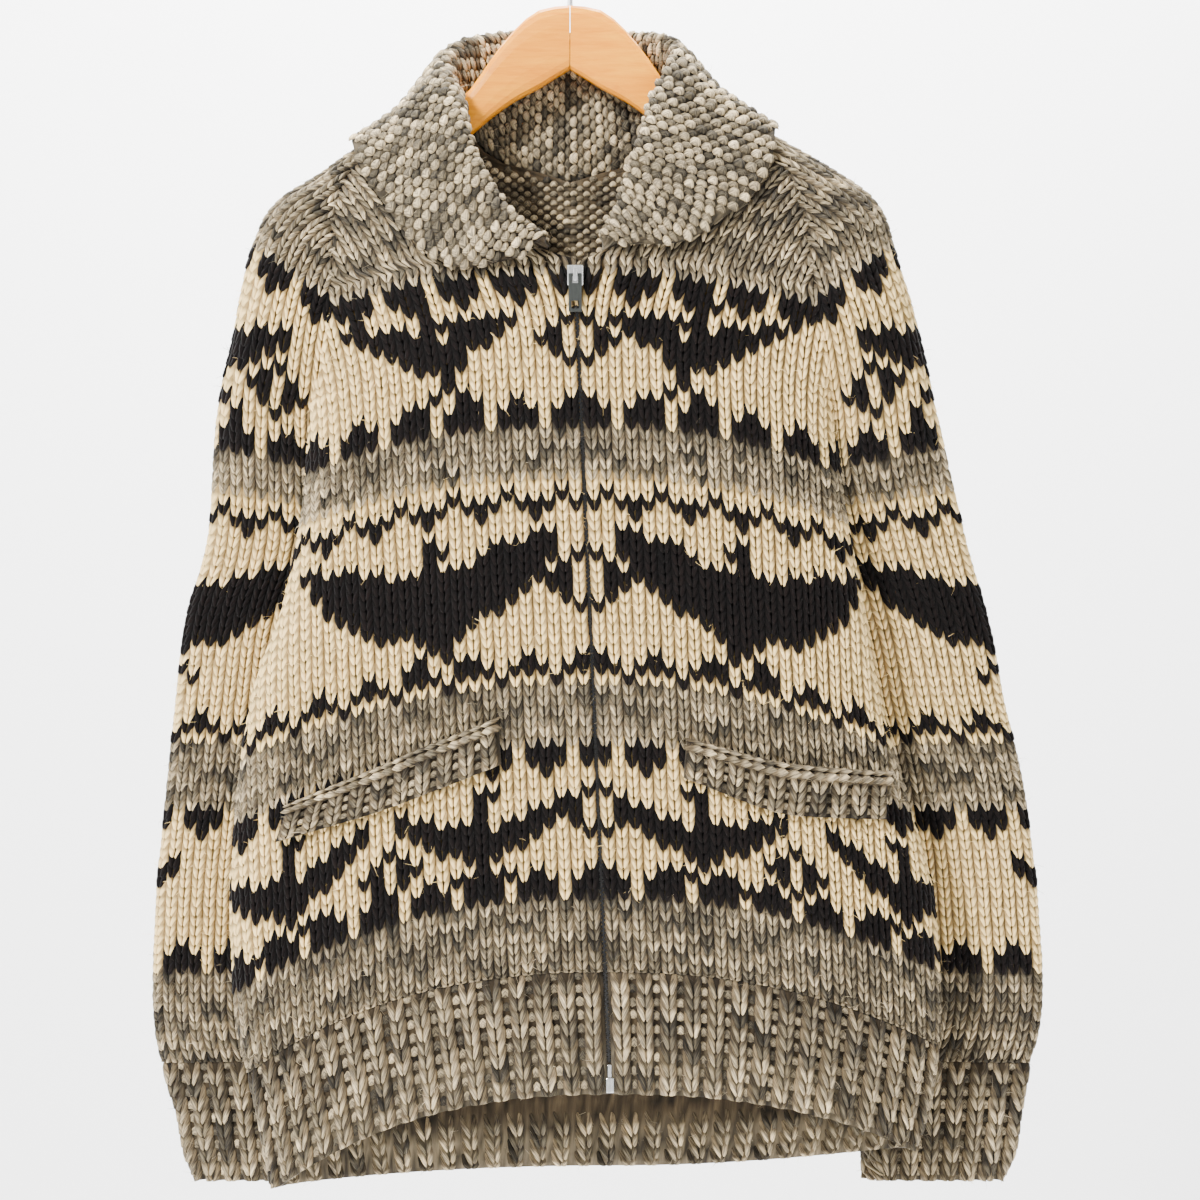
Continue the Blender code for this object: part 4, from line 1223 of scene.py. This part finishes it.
def addRib(name, fabric, node, closed=False, pitch=None, insideRows=0, edge=False):
    total = float(fabric.lengths[0])
    ribs = max(1, round(total / (pitch or rib["pitch"])))

    def rise(part):
        return rib["rise"] * (0.5 - 0.5 * np.cos(2 * np.pi * part * ribs))

    def colourAt(s, row):
        # painted shade, as on the other ground cloth, a little lighter under the ribs
        return shaded(0, row, s / 16.5) * 1.1

    shell = groundShell(name, fabric, colourAt, -0.6, -3.0, 1, ribs * 6 + 1, closed, rise)
    columns, valleys, inside = Stitches(), Stitches(), Stitches()
    for step in range(fabric.rows - 1):
        row = fabric.firstRow + step
        low, high = fabric.span(row + 0.5)
        for number in range(ribs):
            if edge and step == 0:
                break
            place_ = low + (high - low) * (number + 0.5) / ribs
            # painted light and shade: the raised rib columns take a paler mix of the marl, and the sunk
            # valleys between them a darker mix, times 0.85
            colour, marl = yarnOf(0, row, number * 3, 0.06)
            columns.add(place_, row + 0.5, colour, marl, 1.0, 1.0, 1.5)
            if number:
                between = low + (high - low) * number / ribs
                colour, marl = yarnOf(0, row, number * 3 + 1, -0.1)
                valleys.add(between, row + 0.35, colour * 0.85, marl, 0.66, 0.86, -0.9)
            if step >= fabric.rows - 1 - insideRows:
                # painted light: the stitches on the inside of the band are 1.45 times as light as their
                # yarn
                colour, marl = yarnOf(0, row, number)
                inside.add(low + (high - low) * max(number, 0.25) / ribs, row + 0.5,
                           colour * 1.45, marl)
    runs = [layStitches(fabric, columns, leg, rib["wale"]),
            layStitches(fabric, valleys, bump, rib["wale"], signs=(1,))]
    if insideRows:
        runs.append(layStitches(fabric, inside, legPlain, rib["wale"], face=-1, base=2.8))
    if edge:
        # the band's cast-off edge: a chain of sideways stitches
        chain = Stitches()
        count = round(total / 8.4)
        for number in range(count):
            low, high = fabric.span(0)
            # painted highlight: the raised chain takes a paler mix of the marl
            colour, marl = yarnOf(0, 0, number, 0.12)
            chain.add(low + (high - low) * (number + 0.4) / count, 0.55, colour, marl, 1.1, 1.9, 2.2)
        for way in (-1, 1):
            runs.append(layStitches(fabric, chain, chainShape(3, way), 8.4, signs=(1,)))
    worked = meshFromArrays(f"{name}_stitches", *joined(*runs), woolMaterial)
    declareCloth(shell, fabric, node, [worked])
    print(name, len(columns.s), "rib stitches")


def addHems():
    drops = np.linspace(hemTop, 815.0, 10)
    for side in (left, right):
        lines = [spaced(halfRow(drop, side, "front"), 60, frontEdge, 0) for drop in drops]
        fabric = Fabric(lines, [0.0] * len(lines), (0, 0, -850), 0)
        name = sideNames[side]
        addRib(f"hem_front_cloth_{name}", fabric, f"hem_front_{name}")
    lines = []
    for drop in drops:
        halves = [spaced(halfRow(drop, side, "back"), 60, 0, seam / 2) for side in (left, right)]
        lines.append(np.concatenate([halves[0][::-1], halves[1][1:]]))
    fabric = Fabric(lines, [0.0] * len(lines), (0, 0, -850), 0)
    addRib("hem_back_cloth", fabric, "hem_back", insideRows=4)


def addCuffs():
    for side in (left, right):
        lines = []
        for drop in np.linspace(cuffTop, cuffEnd, 10):
            line, gusset = sleeveRing(float(drop), side)
            lines.append(np.concatenate([line, gusset[1:-1], line[:1]]))
        name = sideNames[side]
        fabric = Fabric(lines, [0.0] * len(lines), (side * 240, 46, -830), 0)
        addRib(f"cuff_cloth_{name}", fabric, f"cuff_{name}", True)


def panelPoint(x, drop, face):
    sign = -1 if face == "front" else 1
    return place(x, sign * faceDepth(x, drop, face), drop)


def panelNormal(x, drop, face):
    small = 2.0
    across = panelPoint(x + small, drop, face) - panelPoint(x - small, drop, face)
    down = panelPoint(x, drop + small, face) - panelPoint(x, drop - small, face)
    normal = np.cross(across, down)
    normal /= np.linalg.norm(normal)
    return normal if normal[1] * (-1 if face == "front" else 1) > 0 else -normal


def addPockets():
    lift = wall / 2 + seam + 5.5 / 2
    for side in (left, right):
        lines = []
        for down in np.linspace(0, 1, 6):
            line = []
            for along in np.linspace(0, 1, 31):
                row = pocketShape[side].at(along)
                x = side * (row.topX + (row.lowX - row.topX) * down)
                drop = row.topDrop + (row.lowDrop - row.topDrop) * down
                line.append(panelPoint(x, drop, "front") + lift * panelNormal(x, drop, "front"))
            lines.append(np.array(line))
        name = sideNames[side]
        fabric = Fabric(lines, [0.0] * len(lines), (0, 60, -580), 0)
        addRib(f"pocket_cloth_{name}", fabric, f"pocket_band_{name}",
               pitch=15.0, edge=True)


# The collar is knitted in ridges that run across the band, from the neck seam to the free edge.
collar = dict(ridge=5.2, bump=8.2)


def addCollar():
    alongs = np.linspace(0, 1, 90)
    sections = [collarSection(along, left) for along in alongs[::-1]]
    sections += [collarSection(along, right) for along in alongs[1:]]
    sections = np.stack([spaced(section, 90) for section in sections])
    middle = sections[:, 55]
    lengths = lineLengths(middle)
    count = round(lengths[-1] / collar["ridge"])
    wanted = np.linspace(0, lengths[-1], count + 1)
    rows = np.stack([[np.interp(wanted, lengths, sections[:, column, axis]) for axis in range(3)]
                     for column in range(90)])
    rows = rows.transpose(2, 0, 1)
    fabric = Fabric(list(rows), [0.0] * len(rows), (0, 10, -160), 0, 91, 50)

    def colourAt(s, row):
        # painted shade, as on the other ground cloth, a tenth darker
        return shaded(0, row, s / 8) * 0.9

    shell = groundShell("collar_cloth", fabric, colourAt, -0.4, -3.0, 1, 31)
    bumps = Stitches()
    for row in range(count):
        ridge = row % 2 == 0
        low, high = fabric.span(row + 0.5)
        number = max(1, round((high - low) / collar["bump"]))
        for column in range(number):
            offset = 0.5 if ridge else 0.0
            s = low + (high - low) * (column + offset + 0.25) / number
            if s > high - 2:
                continue
            # painted light and shade: the raised ridges take a paler mix of the marl and the sunk rows
            # between them a darker one
            colour, marl = yarnOf(0, row * 0.5, column * 1.3, 0.16 if ridge else -0.2)
            bumps.add(s, row + 0.5, colour, marl, 0.98, 1.4 if ridge else 1.15,
                      0.9 if ridge else -0.2)
    worked = meshFromArrays("collar_stitches",
                            *layStitches(fabric, bumps, bump, collar["bump"], signs=(1,)),
                            woolMaterial)
    declareCloth(shell, fabric, "collar", [worked])
    print("collar", len(bumps.s), "bumps")


for side in (left, right):
    addFront(side)
    addSleeve(side)
addBack()
addHems()
addCuffs()
addPockets()
addCollar()


# Loose fibres: short bent hairs of three faces each that stand out of the wool all over.
fuzz = dict(share=0.038, long=6.5, thick=0.12)


def addFuzz(name, source, tone):
    mesh = source.data
    count = len(mesh.vertices)
    places = np.zeros(count * 3, np.float32)
    mesh.vertices.foreach_get("co", places)
    normals = np.zeros(count * 3, np.float32)
    mesh.vertex_normals.foreach_get("vector", normals)
    yarn = np.zeros(count * 4, np.float32)
    mesh.attributes["yarn"].data.foreach_get("color", yarn)
    picked = rng.choice(count, int(fuzz["share"] * count), replace=False)
    root = places.reshape(-1, 3)[picked] / mm
    up = normals.reshape(-1, 3)[picked]
    colours = yarn.reshape(-1, 4)[picked, :3] * tone
    along = rng.normal(0, 1, (len(picked), 3))
    along -= up * (along * up).sum(axis=1, keepdims=True)
    along /= np.linalg.norm(along, axis=1, keepdims=True)
    turn = np.cross(up, along)
    size = fuzz["long"] * rng.uniform(0.5, 1.3, (len(picked), 1))
    bend = rng.normal(0, 0.3, (len(picked), 1))
    rows = []
    for part, high in ((0.0, 0.0), (0.4, 0.22), (0.75, 0.33), (1.0, 0.30)):
        middle = root + along * size * part + up * size * high + turn * size * bend * part**2
        width = fuzz["thick"] * (1 - 0.7 * part)
        rows += [middle - turn * width, middle + turn * width]
    points = np.stack(rows, axis=1).reshape(-1, 3)
    quads = np.array([(0, 1, 3, 2), (2, 3, 5, 4), (4, 5, 7, 6)])
    faces = (np.arange(len(picked))[:, None, None] * 8 + quads[None]).reshape(-1, 4)
    uvs = np.tile(np.array([(0.0, 0.8)]), (len(points), 1))
    hairs = meshFromArrays(name, points, faces, np.repeat(colours, 8, axis=0),
                           np.zeros(len(points)), np.repeat(rng.random(len(picked)), 8), uvs,
                           woolMaterial)
    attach(hairs, "garment")


for source in [made for made in bpy.data.objects if made.name.endswith("_stitches")
               or "_stitches_" in made.name]:
    addFuzz("fuzz_" + source.name, source, 1.15)
print("fuzz")


# Small teeth along both edges of the zip, between the fronts.
zipTeeth = dict(pitch=2.9, width=3.0, deep=2.4, tall=1.7)


def addTeeth():
    bm = bmesh.new()
    for index, drop in enumerate(np.arange(zipTop + 18, zipEnd - 22, zipTeeth["pitch"] / 2)):
        side = -1 if index % 2 else 1
        depth = -faceDepth(zipX(drop), drop, "front") + wall / 2 + seam - 0.9
        box = bmesh.ops.create_cube(bm, size=1.0)["verts"]
        bmesh.ops.scale(bm, vec=(zipTeeth["width"], zipTeeth["deep"], zipTeeth["tall"]), verts=box)
        bmesh.ops.translate(bm, vec=place(zipX(drop) + side * 0.7, depth, drop), verts=box)
    bmesh.ops.bevel(bm, geom=list(bm.edges), offset=0.25, segments=1, profile=0.5, affect="EDGES",
                    clamp_overlap=True, material=-1)
    bmesh.ops.scale(bm, vec=(mm, mm, mm), verts=bm.verts)
    mesh = bpy.data.meshes.new("zip_teeth")
    bm.to_mesh(mesh)
    bm.free()
    teeth = bpy.data.objects.new("zip_teeth", mesh)
    bpy.context.scene.collection.objects.link(teeth)
    metal = Finish("zincTeeth", 0.34, 1.0)
    grain = metal.node("ShaderNodeTexNoise", Vector=metal.node("ShaderNodeTexCoord", output=3),
                       Scale=900.0, Detail=2.0)
    metal.feed("Base Color", metal.mixColour(grain, (0.015, 0.015, 0.015, 1), (0.09, 0.088, 0.085, 1)))
    mesh.materials.append(metal.material)
    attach(teeth, "garment")


addTeeth()


# Finishes of the CAD nodes that stay: wood, chrome, the pull's dark metal and the woven tape.
def dress(finish, *names):
    for name in names:
        mesh = frame["nodes"][name].data
        mesh.materials.clear()
        mesh.materials.append(finish.material)


def woodFinish(name, tone):
    wood = Finish(name, 0.4, **{"Coat Weight": 0.04, "Coat Roughness": 0.25,
                                "Specular IOR Level": 0.12})
    at = wood.node("ShaderNodeTexCoord", output=3)
    stretched = wood.node("ShaderNodeMapping", Vector=at, Scale=(5.0, 60.0, 60.0))
    rings = wood.node("ShaderNodeTexNoise", Vector=stretched, Scale=3.0, Detail=5.0, Roughness=0.6,
                      Distortion=0.9)
    fine = wood.node("ShaderNodeTexNoise", Vector=stretched, Scale=16.0, Detail=4.0, Roughness=0.7)
    ramp = wood.node("ShaderNodeValToRGB", {"stops": (
        (0.34, tuple(tone * value for value in (0.76, 0.235, 0.003))),
        (0.52, tuple(tone * value for value in (0.85, 0.305, 0.005))),
        (0.68, tuple(tone * value for value in (0.92, 0.37, 0.010))))}, Fac=rings)
    colour = wood.mixColour(0.25, ramp, wood.node("ShaderNodeValToRGB", {"stops": (
        (0.35, (0.66, 0.18, 0.003)), (0.65, (0.90, 0.37, 0.010)))}, Fac=fine))
    wood.feed("Base Color", colour)
    wood.feed("Roughness", wood.maths(fine) * 0.2 + 0.24)
    wood.feed("Normal", wood.node("ShaderNodeBump", Height=fine, Strength=0.12, Distance=0.0004))
    return wood


def metalFinish(name, dark, light, roughness, metallic=1.0):
    metal = Finish(name, roughness, metallic)
    at = metal.node("ShaderNodeTexCoord", output=3)
    scratches = metal.node("ShaderNodeTexNoise", Vector=metal.node(
        "ShaderNodeMapping", Vector=at, Scale=(900.0, 900.0, 90.0)), Scale=2.0, Detail=3.0)
    metal.feed("Base Color", metal.mixColour(scratches, (*dark, 1), (*light, 1)))
    metal.feed("Roughness", metal.maths(scratches) * 0.22 + (roughness - 0.1))
    metal.feed("Normal", metal.node("ShaderNodeBump", Height=scratches, Strength=0.08,
                                    Distance=0.0002))
    return metal


def tapeFinish():
    tape = Finish("wovenTape", 0.88)
    at = tape.node("ShaderNodeTexCoord", output=3)
    weave = tape.maths(tape.node("ShaderNodeTexWave", {"bands_direction": "Z"}, 1, Vector=at,
                                 Scale=700.0, Distortion=0.4))
    cross = tape.maths(tape.node("ShaderNodeTexWave", {"bands_direction": "X"}, 1, Vector=at,
                                 Scale=700.0, Distortion=0.4))
    pattern = weave * cross
    tape.feed("Base Color", tape.mixColour(pattern, (0.014, 0.013, 0.013, 1), (0.06, 0.057, 0.055, 1)))
    tape.feed("Normal", tape.node("ShaderNodeBump", Height=pattern, Strength=0.5, Distance=0.0003))
    return tape


# painted shade: the left arm's wood is coloured 0.92 as light as the right arm's, for the shade on the
# hanger's left half
dress(woodFinish("varnishedWoodLeft", 0.92), "hanger_wood_left")
dress(woodFinish("varnishedWoodRight", 1.0), "hanger_wood_right")
dress(metalFinish("chromePlate", (0.62, 0.61, 0.60), (0.86, 0.86, 0.85), 0.24), "zip_slider",
      "zip_box", "zip_pin", "hanger_hook")
dress(metalFinish("darkPull", (0.014, 0.016, 0.014), (0.040, 0.044, 0.040), 0.36, 0.4), "zip_pull")
dress(tapeFinish(), "zip_tape_left", "zip_tape_right")
print("finishes")


# Studio: pale floor and backdrop, soft light from the front and above, and the photo's view.
def flatPiece(name, corners, colour):
    bm = bmesh.new()
    bm.faces.new([bm.verts.new(corner) for corner in corners])
    mesh = bpy.data.meshes.new(name)
    bm.to_mesh(mesh)
    bm.free()
    made = bpy.data.objects.new(name, mesh)
    bpy.context.scene.collection.objects.link(made)
    finish = Finish(name, 0.9)
    finish.shader.inputs["Base Color"].default_value = (*colour, 1)
    mesh.materials.append(finish.material)


flatPiece("backdrop", ((-6, 1.5, -4), (6, 1.5, -4), (6, 1.5, 4), (-6, 1.5, 4)), (0.93, 0.93, 0.93))
flatPiece("floor", ((-6, -6, -1.6), (6, -6, -1.6), (6, 1.5, -1.6), (-6, 1.5, -1.6)),
          (0.93, 0.93, 0.93))


def areaLight(name, place_, target, size, power):
    data = bpy.data.lights.new(name, "AREA")
    data.shape = "DISK"
    data.size = size
    data.energy = power
    light = bpy.data.objects.new(name, data)
    light.location = place_
    bpy.context.scene.collection.objects.link(light)
    aim = np.array(target, float) - np.array(place_, float)
    light.rotation_euler = mathutils.Vector(aim).to_track_quat("-Z", "Y").to_euler()


areaLight("key", (-1.7, -2.3, 1.25), (0, 0, -0.45), 0.5, 285)
areaLight("fill", (1.5, -2.8, -0.1), (0, 0, -0.45), 1.6, 28)
areaLight("behind", (0, 0.5, 1.3), (0, 1.5, -0.4), 1.4, 240)
world = bpy.data.worlds.new("studio")
bpy.context.scene.world = world
world.use_nodes = True
world.node_tree.nodes["Background"].inputs[0].default_value = (1, 1, 1, 1)
world.node_tree.nodes["Background"].inputs[1].default_value = 0.9

cameraData = bpy.data.cameras.new("camera")
cameraData.sensor_width = 36
cameraData.lens = 108.7
cameraData.dof.use_dof = False
camera = bpy.data.objects.new("camera", cameraData)
camera.location = (0.0207, -2.5, -0.4618)
camera.rotation_euler = (math.pi / 2, 0, 0)
bpy.context.scene.collection.objects.link(camera)
bpy.context.scene.camera = camera
